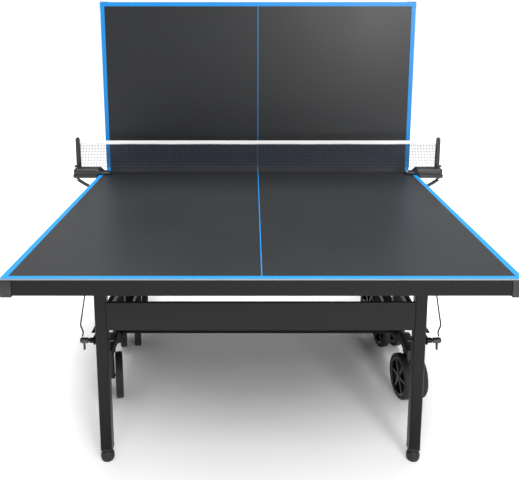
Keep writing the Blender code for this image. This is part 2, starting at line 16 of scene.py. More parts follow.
import bpy
import numpy as np
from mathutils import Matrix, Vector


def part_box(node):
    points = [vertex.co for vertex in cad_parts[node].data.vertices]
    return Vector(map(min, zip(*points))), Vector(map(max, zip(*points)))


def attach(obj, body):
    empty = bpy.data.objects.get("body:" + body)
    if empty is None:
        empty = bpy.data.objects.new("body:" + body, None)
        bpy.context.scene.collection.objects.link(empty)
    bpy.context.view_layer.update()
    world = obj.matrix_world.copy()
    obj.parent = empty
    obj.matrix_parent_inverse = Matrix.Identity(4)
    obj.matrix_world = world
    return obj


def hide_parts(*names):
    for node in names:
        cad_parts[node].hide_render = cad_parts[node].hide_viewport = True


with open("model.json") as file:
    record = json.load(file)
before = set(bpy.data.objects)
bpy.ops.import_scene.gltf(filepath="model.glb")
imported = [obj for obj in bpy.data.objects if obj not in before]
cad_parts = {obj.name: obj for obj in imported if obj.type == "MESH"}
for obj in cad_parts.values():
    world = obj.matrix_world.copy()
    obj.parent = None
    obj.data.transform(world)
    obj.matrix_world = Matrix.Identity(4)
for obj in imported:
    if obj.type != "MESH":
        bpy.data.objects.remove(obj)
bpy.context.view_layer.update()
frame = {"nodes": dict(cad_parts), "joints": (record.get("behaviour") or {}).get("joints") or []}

LOG = logging.getLogger("table")
MM = 0.001
SIDES = (-1, 1)
# Edges between faces that turn by more than this many degrees stay sharp.
SHARP_OVER = 38.0

Pair = tuple[float, float]
Line = tuple[Pair, ...]
Colour = tuple[float, float, float]


class Group(Enum):
    """The groups of pieces that move together in one half table."""

    TROLLEY = "trolley"
    TOP = "top"
    LEGS = "legs"
    LINKS = "links"


class Axis(Enum):
    """The direction in which an outline is drawn out. The value is the order of its columns."""

    X = (2, 0, 1)
    Y = (0, 2, 1)
    Z = (0, 1, 2)


# ---------------------------------------------------------------- shapes


def shift(x: float, y: float, z: float) -> np.ndarray:
    """A 4x4 matrix that moves by x, y and z."""
    matrix = np.eye(4)
    matrix[:3, 3] = (x, y, z)
    return matrix


def turn(angle: float, axis: str) -> np.ndarray:
    """A 4x4 matrix that turns by an angle in radians about the X or the Z axis.

    Args:
        angle: how far to turn, by the right-hand rule.
        axis: "X" or "Z".

    Returns:
        The matrix.
    """
    first, second = {"X": (1, 2), "Z": (0, 1)}[axis]
    matrix = np.eye(4)
    matrix[first, first] = matrix[second, second] = math.cos(angle)
    matrix[first, second] = -math.sin(angle)
    matrix[second, first] = math.sin(angle)
    return matrix


def profile(points: Line, side: int = 1) -> np.ndarray:
    """A line given in millimetres as (radius, place along the axis), in metres.

    Args:
        points: the line's points.
        side: -1 mirrors the places along the axis.

    Returns:
        The points by 2.
    """
    return np.array(points) * (MM, side * MM)


def arc(centre: Pair, radius: float, start: float, end: float,
        count: int = 9) -> np.ndarray:
    """Points of a flat arc: centre plus radius times (cos, sin) of evenly spaced angles.

    Args:
        centre: the arc's centre.
        radius: the arc's radius.
        start: first angle in degrees.
        end: last angle in degrees.
        count: number of points.

    Returns:
        An array of count by 2.
    """
    angle = np.radians(np.linspace(start, end, count))
    return np.stack((centre[0] + radius * np.cos(angle), centre[1] + radius * np.sin(angle)), 1)


def rounded_rectangle(width: float, height: float, corner: float, steps: int = 4) -> np.ndarray:
    """A rectangle about the origin whose corners are quarter circles.

    Args:
        width: whole size along the first axis.
        height: whole size along the second axis.
        corner: corner radius.
        steps: segments in each corner.

    Returns:
        Points anticlockwise, an array of 4 * (steps + 1) by 2.
    """
    reach_u, reach_v = width / 2 - corner, height / 2 - corner
    corners = [arc((u * reach_u, v * reach_v), corner, start, start + 90.0, steps + 1)
               for u, v, start in ((1, 1, 0.0), (-1, 1, 90.0), (-1, -1, 180.0), (1, -1, 270.0))]
    return np.concatenate(corners)


def inset(outline: np.ndarray, wall: float) -> np.ndarray:
    """An anticlockwise outline moved inwards: each point slides along its mitre.

    The mitre is the sum of the two edge normals over one plus their dot product.

    Args:
        outline: points by 2.
        wall: how far to move, in metres.

    Returns:
        The moved outline.
    """
    ahead = np.roll(outline, -1, 0) - outline
    ahead /= np.linalg.norm(ahead, axis=1, keepdims=True)
    behind = np.roll(ahead, 1, 0)
    normal_a = np.stack((-ahead[:, 1], ahead[:, 0]), 1)
    normal_b = np.stack((-behind[:, 1], behind[:, 0]), 1)
    dot = (normal_a * normal_b).sum(1, keepdims=True)
    return outline + wall * (normal_a + normal_b) / (1.0 + dot)


def bent_path(points: Sequence[Sequence[float]], bend: float, steps: int = 5) -> np.ndarray:
    """A polyline whose corners are rounded by a quadratic curve between two points on its legs.

    Args:
        points: corner points, 2 or 3 values each.
        bend: how far from each corner the curve starts.
        steps: segments in each bend.

    Returns:
        The path's points.
    """
    corners = np.asarray(points, float)
    t = np.linspace(0.0, 1.0, steps + 1)[:, None]
    parts = [corners[:1]]
    for before, here, after in zip(corners[:-2], corners[1:-1], corners[2:]):
        start = here + bend * (before - here) / np.linalg.norm(before - here)
        end = here + bend * (after - here) / np.linalg.norm(after - here)
        parts.append((1 - t) ** 2 * start + 2 * t * (1 - t) * here + t ** 2 * end)
    parts.append(corners[-1:])
    return np.concatenate(parts)


def smooth_path(points: Sequence[Sequence[float]], per_span: int = 8) -> np.ndarray:
    """A curve through all the points, as a Catmull-Rom spline worked out span by span at once.

    Args:
        points: at least two points of three values.
        per_span: segments between neighbouring points.

    Returns:
        The curve's points.
    """
    p = np.asarray(points, float)
    padded = np.concatenate((2 * p[:1] - p[1:2], p, 2 * p[-1:] - p[-2:-1]))
    a, b, c, d = (padded[i:len(padded) - 3 + i, None] for i in range(4))
    t = np.linspace(0.0, 1.0, per_span, endpoint=False)[None, :, None]
    curve = 0.5 * (2 * b + (c - a) * t + (2 * a - 5 * b + 4 * c - d) * t ** 2
                   + (3 * b - a - 3 * c + d) * t ** 3)
    return np.concatenate((curve.reshape(-1, 3), p[-1:]))


class Skin:
    """Closed surfaces gathered into one mesh. Each is a grid of points, rows by columns."""

    def __init__(self) -> None:
        """Starts with no surface."""
        self._points: list[np.ndarray] = []
        self._faces: list[np.ndarray] = []
        self._count = 0

    def grid(self, rows: np.ndarray, loop: bool = False) -> "Skin":
        """Adds a surface whose rows close on themselves.

        Quads join each row to the next. Unless the rows loop, a fan to the row's middle closes
        each end. The whole is turned over if its signed volume comes out negative.

        Args:
            rows: points, rows by columns by 3.
            loop: whether the last row joins the first.

        Returns:
            This skin.
        """
        count, width = rows.shape[:2]
        points = rows.reshape(-1, 3)
        index = np.arange(count * width).reshape(count, width)
        nxt = np.roll(index, -1, 1)
        low, high = (index, np.roll(index, -1, 0)) if loop else (index[:-1], index[1:])
        low_next, high_next = (nxt, np.roll(nxt, -1, 0)) if loop else (nxt[:-1], nxt[1:])
        faces = np.stack((low, low_next, high_next, high), -1).reshape(-1, 4)
        if not loop:
            middles = rows[[0, -1]].mean(1)
            start = np.full(width, count * width)
            fan = np.stack((index[0], start, start, nxt[0]), 1)
            far_fan = np.stack((index[-1], nxt[-1], start + 1, start + 1), 1)
            points = np.concatenate((points, middles))
            faces = np.concatenate((faces, fan, far_fan))
        return self._keep(points, faces)

    def _keep(self, points: np.ndarray, faces: np.ndarray) -> "Skin":
        """Keeps a closed body, with its faces outwards. A triangle repeats one corner.

        Args:
            points: the body's points.
            faces: four point numbers a face.

        Returns:
            This skin.
        """
        a, b, c, d = (points[faces[:, i]] - points.mean(0) for i in range(4))
        volume = (np.cross(a, b) * c).sum() + (np.cross(a, c) * d).sum()
        if volume < 0:
            faces = faces[:, ::-1]
        self._points.append(points)
        self._faces.append(faces + self._count)
        self._count += len(points)
        return self

    def rounded_prism(self, outline: np.ndarray, span: Pair, edge: float,
                      axis: Axis, steps: int = 3) -> "Skin":
        """An outline drawn out along an axis, with its end edges rounded by quarter circles.

        Each end row is the outline set in by edge * (1 - sin t) at edge * (1 - cos t) from the
        end, for t from 0 to a right angle.

        Args:
            outline: anticlockwise points by 2.
            span: the two ends along the axis.
            edge: radius of the rounded edges.
            axis: the axis to draw out along.
            steps: segments in each rounded edge.

        Returns:
            This skin.
        """
        low, high = min(span), max(span)
        t = np.linspace(0.0, math.pi / 2, steps + 1)
        depth = edge * (1 - np.cos(t))
        inward = edge * (1 - np.sin(t))
        slices = [inset(outline, wall) for wall in inward]
        places = np.concatenate((low + depth, (high - depth)[::-1]))
        flat = np.stack(slices + slices[::-1])
        along = np.broadcast_to(places[:, None, None], flat.shape[:2] + (1,))
        rows = np.concatenate((flat, along), 2)[:, :, list(axis.value)]
        return self.grid(rows)

    def rounded_box(self, low: Sequence[float], high: Sequence[float], corner: float,
                    edge: float, axis: Axis = Axis.Z) -> "Skin":
        """A box whose long corners and end edges are rounded.

        Args:
            low: lowest corner.
            high: highest corner.
            corner: radius of the corners that run along the axis.
            edge: radius of the edges round both ends.
            axis: the box's long axis.

        Returns:
            This skin.
        """
        a, b = np.minimum(low, high), np.maximum(low, high)
        across = [i for i in range(3) if i != axis.value.index(2)]
        size, middle = b - a, (a + b) / 2
        outline = rounded_rectangle(size[across[0]], size[across[1]], corner)
        outline = outline + middle[across]
        along = axis.value.index(2)
        return self.rounded_prism(outline, (a[along], b[along]), edge, axis)

    def sweep(self, path: np.ndarray, section: np.ndarray, up: Sequence[float],
              scale: np.ndarray | None = None, loop: bool = False) -> "Skin":
        """A section carried along a path, square to it.

        Each row is the path's point plus the section's first value along the side direction and
        its second along the direction square to side and path.

        Args:
            path: points by 3.
            section: anticlockwise outline about the origin.
            up: a direction that the path never follows.
            scale: size of the section at each point, one value or two.
            loop: whether the path is closed.

        Returns:
            This skin.
        """
        if loop:
            ahead = np.roll(path, -1, 0) - np.roll(path, 1, 0)
        else:
            ahead = np.gradient(path, axis=0)
        ahead = ahead / np.linalg.norm(ahead, axis=1, keepdims=True)
        side = np.cross(ahead, np.asarray(up, float))
        side /= np.linalg.norm(side, axis=1, keepdims=True)
        lift = np.cross(side, ahead)
        size = np.ones((len(path), 2)) if scale is None else np.asarray(scale, float)
        if size.ndim == 1:
            size = np.repeat(size[:, None], 2, 1)
        u = section[None, :, :1] * size[:, None, :1]
        v = section[None, :, 1:] * size[:, None, 1:]
        return self.grid(path[:, None] + u * side[:, None] + v * lift[:, None], loop)

    def lathe(self, line: np.ndarray, segments: int, centre: Sequence[float], axis: Axis,
              ripple: Callable[[np.ndarray, np.ndarray], np.ndarray] | None = None,
              loop: bool = False) -> "Skin":
        """A line of (radius, height) turned about an axis through a centre.

        Args:
            line: points by 2.
            segments: columns round the axis.
            centre: a point on the axis; heights are measured from it.
            axis: the axis.
            ripple: factor on the radius from (angle, height), for ribs and knurls.
            loop: whether the line is a closed ring.

        Returns:
            This skin.
        """
        angle = np.linspace(0.0, 2 * math.pi, segments, endpoint=False)[None, :]
        radius = np.broadcast_to(line[:, :1], (len(line), segments))
        height = np.broadcast_to(line[:, 1:], radius.shape)
        if ripple is not None:
            radius = radius * ripple(np.broadcast_to(angle, radius.shape), height)
        flat = (radius * np.cos(angle), radius * np.sin(angle), height)
        rows = np.stack(flat, -1)[:, :, list(axis.value)] + np.asarray(centre, float)
        return self.grid(rows, loop)

    def channel(self, line: np.ndarray, wall: float, span: Pair, axis: Axis) -> "Skin":
        """A bent sheet of even thickness, drawn out along an axis, such as a pressed channel.

        The outer and inner faces lie half a wall either side of the line, and strips of quads
        close both ends.

        Args:
            line: the bent sheet's middle line, points by 2.
            wall: sheet thickness.
            span: the two ends along the axis.
            axis: the axis to draw out along.

        Returns:
            This skin.
        """
        ahead = np.gradient(line, axis=0)
        ahead /= np.linalg.norm(ahead, axis=1, keepdims=True)
        normal = np.stack((-ahead[:, 1], ahead[:, 0]), 1) * wall / 2
        ring = np.concatenate((line + normal, (line - normal)[::-1]))
        flat = np.stack((ring, ring))
        along = np.broadcast_to(np.asarray(span, float)[:, None, None], flat.shape[:2] + (1,))
        rows = np.concatenate((flat, along), 2)[:, :, list(axis.value)]
        width, count = len(ring), len(line)
        index = np.arange(2 * width).reshape(2, width)
        nxt = np.roll(index, -1, 1)
        walls = np.stack((index[0], nxt[0], nxt[1], index[1]), 1)
        outer, inner = np.arange(count - 1), width - 1 - np.arange(count - 1)
        ends = [np.stack((outer, inner, inner - 1, outer + 1), 1) + width * end for end in (0, 1)]
        faces = np.concatenate((walls, ends[0], ends[1][:, ::-1]))
        return self._keep(rows.reshape(-1, 3), faces)

    def bolt(self, centre: Sequence[float], axis: Axis, radius: float, height: float,
             outward: int = 1) -> "Skin":
        """A hexagon head with a washer, its seat at the centre, standing up along the axis.

        Args:
            centre: the middle of the seat.
            axis: the axis the bolt stands along.
            radius: the hexagon's outer radius.
            height: head height.
            outward: 1 or -1, the way the head stands.

        Returns:
            This skin.
        """
        rise = np.array([0.0, 0.15, 0.22, 0.85, 1.0])
        hexagon = np.array([1.25, 1.25, 1.0, 1.0, 0.86])
        head = np.stack((radius * hexagon, outward * height * rise), 1)

        def flats(angle: np.ndarray, level: np.ndarray) -> np.ndarray:
            """Six flats above the washer, which stays round."""
            corner = np.mod(angle, math.pi / 3) - math.pi / 6
            six = math.cos(math.pi / 6) / np.cos(corner)
            return np.where(np.abs(level) > 0.2 * height, six, 1.0)

        return self.lathe(head, 24, centre, axis, flats)

    def mesh(self, name: str, place: np.ndarray) -> bpy.types.Mesh:
        """One Blender mesh of all the surfaces, carried to its place.

        Args:
            name: the mesh's name.
            place: 4x4 matrix from the half table's places to the row frame.

        Returns:
            The mesh, smooth except over sharp edges.
        """
        points = np.concatenate(self._points) @ place[:3, :3].T + place[:3, 3]
        faces = np.concatenate(self._faces)
        keep = faces != np.roll(faces, -1, 1)
        total = keep.sum(1)
        mesh = bpy.data.meshes.new(name)
        mesh.vertices.add(len(points))
        mesh.vertices.foreach_set("co", points.astype(np.float32).ravel())
        mesh.loops.add(int(total.sum()))
        mesh.loops.foreach_set("vertex_index", faces[keep].astype(np.int32))
        mesh.polygons.add(len(faces))
        starts = np.concatenate(([0], np.cumsum(total)[:-1])).astype(np.int32)
        mesh.polygons.foreach_set("loop_start", starts)
        mesh.polygons.foreach_set("loop_total", total.astype(np.int32))
        mesh.update(calc_edges=True)
        mesh.validate()
        mesh.shade_smooth()
        mesh.set_sharp_from_angle(angle=math.radians(SHARP_OVER))
        return mesh


CIRCLE_8 = arc((0.0, 0.0), 1.0, 0.0, 315.0, 8)
CIRCLE_12 = arc((0.0, 0.0), 1.0, 0.0, 330.0, 12)


# ---------------------------------------------------------------- finishes


def shade(colour: Colour, factor: float, lift: float = 0.0) -> Colour:
    """A colour times a factor, plus a lift on all three."""
    return tuple(c * factor + lift for c in colour)


class Value:
    """A number socket. Arithmetic on it adds Math nodes to its graph."""

    def __init__(self, graph: "Graph", socket: bpy.types.NodeSocket) -> None:
        """Wraps a socket of a graph."""
        self.graph = graph
        self.socket = socket

    def maths(self, operation: str, *operands: Any) -> "Value":
        """The result of a Math node.

        Args:
            operation: the Math node's operation.
            operands: values, sockets or numbers, in order.

        Returns:
            The new value.
        """
        inputs = {i: getattr(item, "socket", item) for i, item in enumerate(operands)}
        made = self.graph.node("ShaderNodeMath", {"operation": operation}, inputs)
        return Value(self.graph, made.outputs[0])

    def __add__(self, other: Any) -> "Value":
        """self + other."""
        return self.maths("ADD", self, other)

    __radd__ = __add__

    def __sub__(self, other: Any) -> "Value":
        """self - other."""
        return self.maths("SUBTRACT", self, other)

    def __rsub__(self, other: Any) -> "Value":
        """other - self."""
        return self.maths("SUBTRACT", other, self)

    def __mul__(self, other: Any) -> "Value":
        """self * other."""
        return self.maths("MULTIPLY", self, other)

    __rmul__ = __mul__

    def __truediv__(self, other: Any) -> "Value":
        """self / other."""
        return self.maths("DIVIDE", self, other)

    def __rtruediv__(self, other: Any) -> "Value":
        """other / self."""
        return self.maths("DIVIDE", other, self)

    def __abs__(self) -> "Value":
        """The value without its sign."""
        return self.maths("ABSOLUTE", self)

    def above(self, limit: float) -> "Value":
        """1 where the value is over the limit, else 0."""
        return self.maths("GREATER_THAN", self, limit)

    def below(self, limit: float) -> "Value":
        """1 where the value is under the limit, else 0."""
        return self.maths("LESS_THAN", self, limit)

    def sine(self) -> "Value":
        """The value's sine."""
        return self.maths("SINE", self)

    def either(self, other: "Value | float") -> "Value":
        """The larger of two values."""
        return self.maths("MAXIMUM", self, other)

    def ramp(self, low: float, high: float) -> "Value":
        """0 at or below low, 1 at or above high, straight between them."""
        made = self.graph.node("ShaderNodeMapRange", {"clamp": True},
                               {"Value": self.socket, "From Min": low, "From Max": high})
        return Value(self.graph, made.outputs["Result"])


class Graph:
    """The nodes of one material or world, round its main shader."""

    def __init__(self, owner: bpy.types.Material | bpy.types.World, shader: str,
                 place: str) -> None:
        """Takes over a node tree.

        Args:
            owner: the material or world.
            shader: the name of its main shader node.
            place: the texture coordinate that patterns read.
        """
        owner.use_nodes = True
        self.owner = owner
        self.tree = owner.node_tree
        self.shader = self.tree.nodes[shader]
        self.coords = self.node("ShaderNodeTexCoord").outputs[place]

    @classmethod
    def material(cls, name: str) -> "Graph":
        """A new material's graph, which reads Object coordinates."""
        return cls(bpy.data.materials.new(name), "Principled BSDF", "Object")

    @classmethod
    def world(cls, name: str) -> "Graph":
        """A new world's graph, which reads the direction."""
        return cls(bpy.data.worlds.new(name), "Background", "Generated")

    def node(self, kind: str, settings: Mapping[str, Any] | None = None,
             inputs: Mapping[Any, Any] | None = None) -> bpy.types.Node:
        """A new node with its settings made first, then its sockets' values or links.

        Args:
            kind: the node's type.
            settings: attributes by name.
            inputs: a socket to link, or a value, by input name or number.

        Returns:
            The node.
        """
        made = self.tree.nodes.new(kind)
        for key, setting in (settings or {}).items():
            setattr(made, key, setting)
        for key, item in (inputs or {}).items():
            self.plug(made.inputs[key], item)
        return made

    def plug(self, socket: bpy.types.NodeSocket, item: Any) -> None:
        """Links a socket or a Value to an input, or sets the input's own value."""
        item = getattr(item, "socket", item)
        if isinstance(item, bpy.types.NodeSocket):
            self.tree.links.new(item, socket)
        else:
            socket.default_value = item

    def axes(self) -> tuple[Value, Value, Value]:
        """The X, Y and Z of the Object coordinates."""
        split = self.node("ShaderNodeSeparateXYZ", None, {0: self.coords})
        return tuple(Value(self, out) for out in split.outputs)

    def noise(self, scale: float, detail: float = 2.0, stretch: Sequence[float] = (1, 1, 1),
              soft: float = 0.5) -> Value:
        """Fractal noise from 0 to 1.

        Args:
            scale: features a metre.
            detail: octaves.
            stretch: factor on each axis before the noise is read.
            soft: roughness of the octaves.

        Returns:
            The noise's value.
        """
        place = self.node("ShaderNodeMapping", None, {"Vector": self.coords, "Scale": stretch})
        made = self.node("ShaderNodeTexNoise", None,
                         {"Vector": place.outputs[0], "Scale": scale, "Detail": detail,
                          "Roughness": soft})
        return Value(self, made.outputs[0])

    def cells(self, scale: float) -> Value:
        """Distance to the nearest of scattered points, from 0, for grain and pits."""
        made = self.node("ShaderNodeTexVoronoi", None, {"Vector": self.coords, "Scale": scale})
        return Value(self, made.outputs["Distance"])

    def blend(self, factor: Any, first: Any, second: Any) -> bpy.types.NodeSocket:
        """A colour between two, by a factor from 0 to 1.

        Args:
            factor: Value or number.
            first: colour where the factor is 0, three numbers or a socket.
            second: colour where the factor is 1.

        Returns:
            The colour socket.
        """
        made = self.node("ShaderNodeMix", {"data_type": "RGBA"})
        for socket, item in zip((made.inputs[0], made.inputs[6], made.inputs[7]),
                                (factor, first, second)):
            self.plug(socket, (*item, 1.0) if isinstance(item, tuple) else item)
        return made.outputs[2]

    def relief(self, height: Value, depth: float, strength: float = 1.0) -> None:
        """Bumps the shader's normal by a height from 0 to 1 over a depth in metres."""
        bump = self.node("ShaderNodeBump", None,
                         {"Height": height, "Distance": depth, "Strength": strength})
        self.plug(self.shader.inputs["Normal"], bump.outputs[0])

    def dress(self, **sockets: Any) -> bpy.types.Material | bpy.types.World:
        """Fills the shader's sockets, named with underscores for spaces.

        Args:
            sockets: values or links.

        Returns:
            The finished material or world.
        """
        for key, item in sockets.items():
            item = (*item, 1.0) if isinstance(item, tuple) and len(item) == 3 else item
            self.plug(self.shader.inputs[key.replace("_", " ")], item)
        return self.owner


@dataclass(frozen=True)
class Laminate:
    """Semi-gloss anthracite laminate with a border, a centre line and a metal edge band."""

    name: str
    net_edge: float
    along: str
    face: float
    half_width: float
    length: float
    border: float = 20 * MM
    centre_line: float = 3 * MM
    face_skin: float = 0.9 * MM
    back_skin: float = 5.4 * MM
    body_colour: Colour = (0.0085, 0.0093, 0.0104)
    line_colour: Colour = (0.0, 0.190, 0.52)
    band_colour: Colour = (0.27, 0.28, 0.30)
    back_colour: Colour = (0.012, 0.0125, 0.0135)
    fleck_scale: float = 900.0
    cloud_scale: float = 3.0
    brush_scale: float = 60.0
    dimple_scale: float = 420.0
    roughness: float = 0.33
    specular: float = 0.32
    band_metal: float = 0.55

    def build(self) -> bpy.types.Material:
        """The material.

        across is the distance from the centre line, run the distance from the net edge and depth
        the distance below the playing face. Lines are printed where across or run is near an
        edge. The band shows on the panel's rim, below the face.

        Returns:
            The material.
        """
        g = Graph.material(self.name)
        x, y, z = g.axes()
        run = (self.net_edge - y) if self.along == "y" else (z - self.net_edge)
        depth = (self.face - z) if self.along == "y" else (y - self.face)
        across = abs(x)
        side_line = across.above(self.half_width - self.border)
        end_line = run.above(self.length - self.border)
        middle_line = across.below(self.centre_line / 2)
        printed = side_line.either(end_line).either(middle_line)
        flecks = g.noise(self.fleck_scale, 3.0).ramp(0.35, 0.75)
        cloud = g.noise(self.cloud_scale, 3.0).ramp(0.25, 0.75)
        body = g.blend(flecks * 0.45, self.body_colour, shade(self.body_colour, 1.32))
        ink = g.blend(flecks * 0.25, self.line_colour, shade(self.line_colour, 0.85))
        face = g.blend(printed, body, ink)
        brushed = g.noise(self.brush_scale, 4.0, (30.0, 30.0, 1.0)).ramp(0.3, 0.7)
        band = g.blend(brushed, self.band_colour, shade(self.band_colour, 0.72))
        below = depth.above(self.face_skin)
        under = depth.above(self.back_skin)
        colour = g.blend(under, g.blend(below, face, band), self.back_colour)
        rough = self.roughness + cloud * 0.05 + flecks * 0.03 + printed * 0.03 + under * 0.3
        dimples = g.noise(self.dimple_scale, 2.0)
        g.relief(dimples * 0.7 + printed * (1 - below) * 0.3, 0.03 * MM)
        return g.dress(Base_Color=colour, Roughness=rough,
                       Metallic=below * (1 - under) * self.band_metal,
                       Specular_IOR_Level=self.specular)


@dataclass(frozen=True)
class PowderCoat:
    """Baked powder paint: orange peel, fine grain, and light rubbing."""

    name: str
    colour: Colour
    roughness: float = 0.42
    grain_scale: float = 900.0
    peel: float = 0.05 * MM
    rub_scale: float = 9.0
    rub: float = 0.35
    specular: float = 0.16

    def build(self) -> bpy.types.Material:
        """The material. Grain and peel give the relief, and rubbed patches are paler.

        Returns:
            The material.
        """
        g = Graph.material(self.name)
        grain = g.noise(self.grain_scale, 3.0)
        peel = g.noise(self.grain_scale / 5, 2.0)
        rubbed = g.noise(self.rub_scale, 5.0, (1, 1, 0.4), 0.65).ramp(0.55, 0.8)
        pale = shade(self.colour, 2.0, 0.0015)
        colour = g.blend(grain.ramp(0.3, 0.8) * 0.35 + rubbed * self.rub, self.colour, pale)
        rough = self.roughness + grain * 0.12 - 0.06 + rubbed * 0.06
        g.relief(grain * 0.4 + peel * 0.6, self.peel)
        return g.dress(Base_Color=colour, Roughness=rough, Specular_IOR_Level=self.specular)


@dataclass(frozen=True)
class MouldedPlastic:
    """Moulded plastic with a fine spark texture and faint flow marks."""

    name: str
    colour: Colour
    roughness: float = 0.4
    texture: float = 0.04 * MM
    gloss_coat: float = 0.0
    coat_roughness: float = 0.12
    pit_scale: float = 1400.0
    flow_scale: float = 24.0

    def build(self) -> bpy.types.Material:
        """The material. Scattered pits give the relief and wide noise the flow marks.

        Returns:
            The material.
        """
        g = Graph.material(self.name)
        pits = g.cells(self.pit_scale).ramp(0.1, 0.7)
        flow = g.noise(self.flow_scale, 3.0, (1.0, 1.0, 3.0)).ramp(0.3, 0.75)
        pale = shade(self.colour, 1.6, 0.002)
        colour = g.blend(flow * 0.4 + pits * 0.2, self.colour, pale)
        rough = self.roughness + flow * 0.09 + pits * 0.04
        g.relief(pits, self.texture)
        return g.dress(Base_Color=colour, Roughness=rough, Coat_Weight=self.gloss_coat,
                       Coat_Roughness=self.coat_roughness)


@dataclass(frozen=True)
class Rubber:
    """Dull rubber with floor dust near the ground and small scuffs."""

    name: str
    colour: Colour = (0.0075, 0.0075, 0.0080)
    dust: Colour = (0.045, 0.043, 0.040)
    dust_height: float = 50 * MM
    patch_scale: float = 70.0
    scuff_scale: float = 160.0
    grain_scale: float = 600.0
    roughness: float = 0.62

    def build(self) -> bpy.types.Material:
        """The material. Dust fades out with height and is broken up by noise.

        Returns:
            The material.
        """
        g = Graph.material(self.name)
        _, _, z = g.axes()
        low = 1 - z.ramp(0.0, self.dust_height)
        patches = g.noise(self.patch_scale, 4.0).ramp(0.4, 0.75)
        scuff = g.noise(self.scuff_scale, 3.0, (1.0, 1.0, 4.0)).ramp(0.55, 0.8)
        colour = g.blend(low * patches * 0.5 + scuff * 0.12, self.colour, self.dust)
        g.relief(g.noise(self.grain_scale, 3.0) * 0.7 + scuff * 0.3, 0.08 * MM)
        return g.dress(Base_Color=colour, Roughness=self.roughness + patches * 0.14)


@dataclass(frozen=True)
class BareSteel:
    """Zinc plated steel for bolts, pins and washers."""

    name: str
    colour: Colour = (0.55, 0.56, 0.58)
    roughness: float = 0.32
    spangle_scale: float = 500.0
    mark_scale: float = 700.0

    def build(self) -> bpy.types.Material:
        """The material. Spangle and turning marks vary its tone and gloss.

        Returns:
            The material.
        """
        g = Graph.material(self.name)
        spangle = g.cells(self.spangle_scale).ramp(0.0, 0.8)
        marks = g.noise(self.mark_scale, 3.0, (4.0, 1.0, 1.0))
        colour = g.blend(spangle * 0.6, self.colour, shade(self.colour, 0.7))
        g.relief(marks, 0.02 * MM)
        return g.dress(Base_Color=colour, Roughness=self.roughness + spangle * 0.12, Metallic=1.0)


@dataclass(frozen=True)
class Cord:
    """Twisted net cord: slanted strands with a painted highlight on their crowns and painted shade
    between them.
    """

    name: str
    colour: Colour
    crown_highlight: Colour
    pitch: float = 2.2 * MM
    fuzz_scale: float = 2400.0
    roughness: float = 0.78
    sheen: float = 0.15

    def build(self) -> bpy.types.Material:
        """The material. Strands follow the sine of x + z over the twist's pitch, and set a painted
        highlight on each crown and painted shade between strands.

        Returns:
            The material.
        """
        g = Graph.material(self.name)
        x, _, z = g.axes()
        strand = ((x + z) * (2 * math.pi / self.pitch)).sine() * 0.5 + 0.5
        fuzz = g.noise(self.fuzz_scale, 3.0)
        # Colour: painted highlight on strand crowns, painted shade between strands, and random
        # fuzz tone.
        colour = g.blend(strand * 0.55 + fuzz * 0.3, self.colour, self.crown_highlight)
        g.relief(strand * 0.7 + fuzz * 0.3, 0.12 * MM)
        return g.dress(Base_Color=colour, Roughness=self.roughness + fuzz * 0.1,
                       Sheen_Weight=self.sheen)


@dataclass(frozen=True)
class WovenTape:
    """White woven tape with ribs and two rows of stitching."""

    name: str
    middle: float
    colour: Colour = (0.80, 0.80, 0.79)
    thread: Colour = (0.62, 0.63, 0.64)
    rib: float = 0.9 * MM
    stitch: float = 4.0 * MM
    seam: float = 6.6 * MM
    thread_radius: float = 0.45 * MM
    soil_scale: float = 14.0
    roughness: float = 0.8
    sheen: float = 0.2

    def build(self) -> bpy.types.Material:
        """The material.

        Warp ribs follow sine waves along x and z. Stitches are dashes of the thread colour on
        two lines a seam's distance above and below the tape's middle.

        Returns:
            The material.
        """
        g = Graph.material(self.name)
        x, _, z = g.axes()
        warp = (x * (2 * math.pi / self.rib)).sine()
        weft = (z * (2 * math.pi / self.rib)).sine()
        weave = warp * weft * 0.5 + 0.5
        line = (abs(abs(z - self.middle) - self.seam)).below(self.thread_radius)
        dash = (x * (2 * math.pi / self.stitch)).sine().above(-0.35)
        stitches = line * dash
        soil = g.noise(self.soil_scale, 4.0).ramp(0.5, 0.85)
        cloth = g.blend(weave * 0.12 + soil * 0.12, self.colour, shade(self.colour, 0.6))
        colour = g.blend(stitches, cloth, self.thread)
        g.relief(weave * 0.5 - stitches * 0.5 + 0.5, 0.25 * MM)
        return g.dress(Base_Color=colour, Roughness=self.roughness + weave * 0.08,
                       Sheen_Weight=self.sheen)


# ---------------------------------------------------------------- places


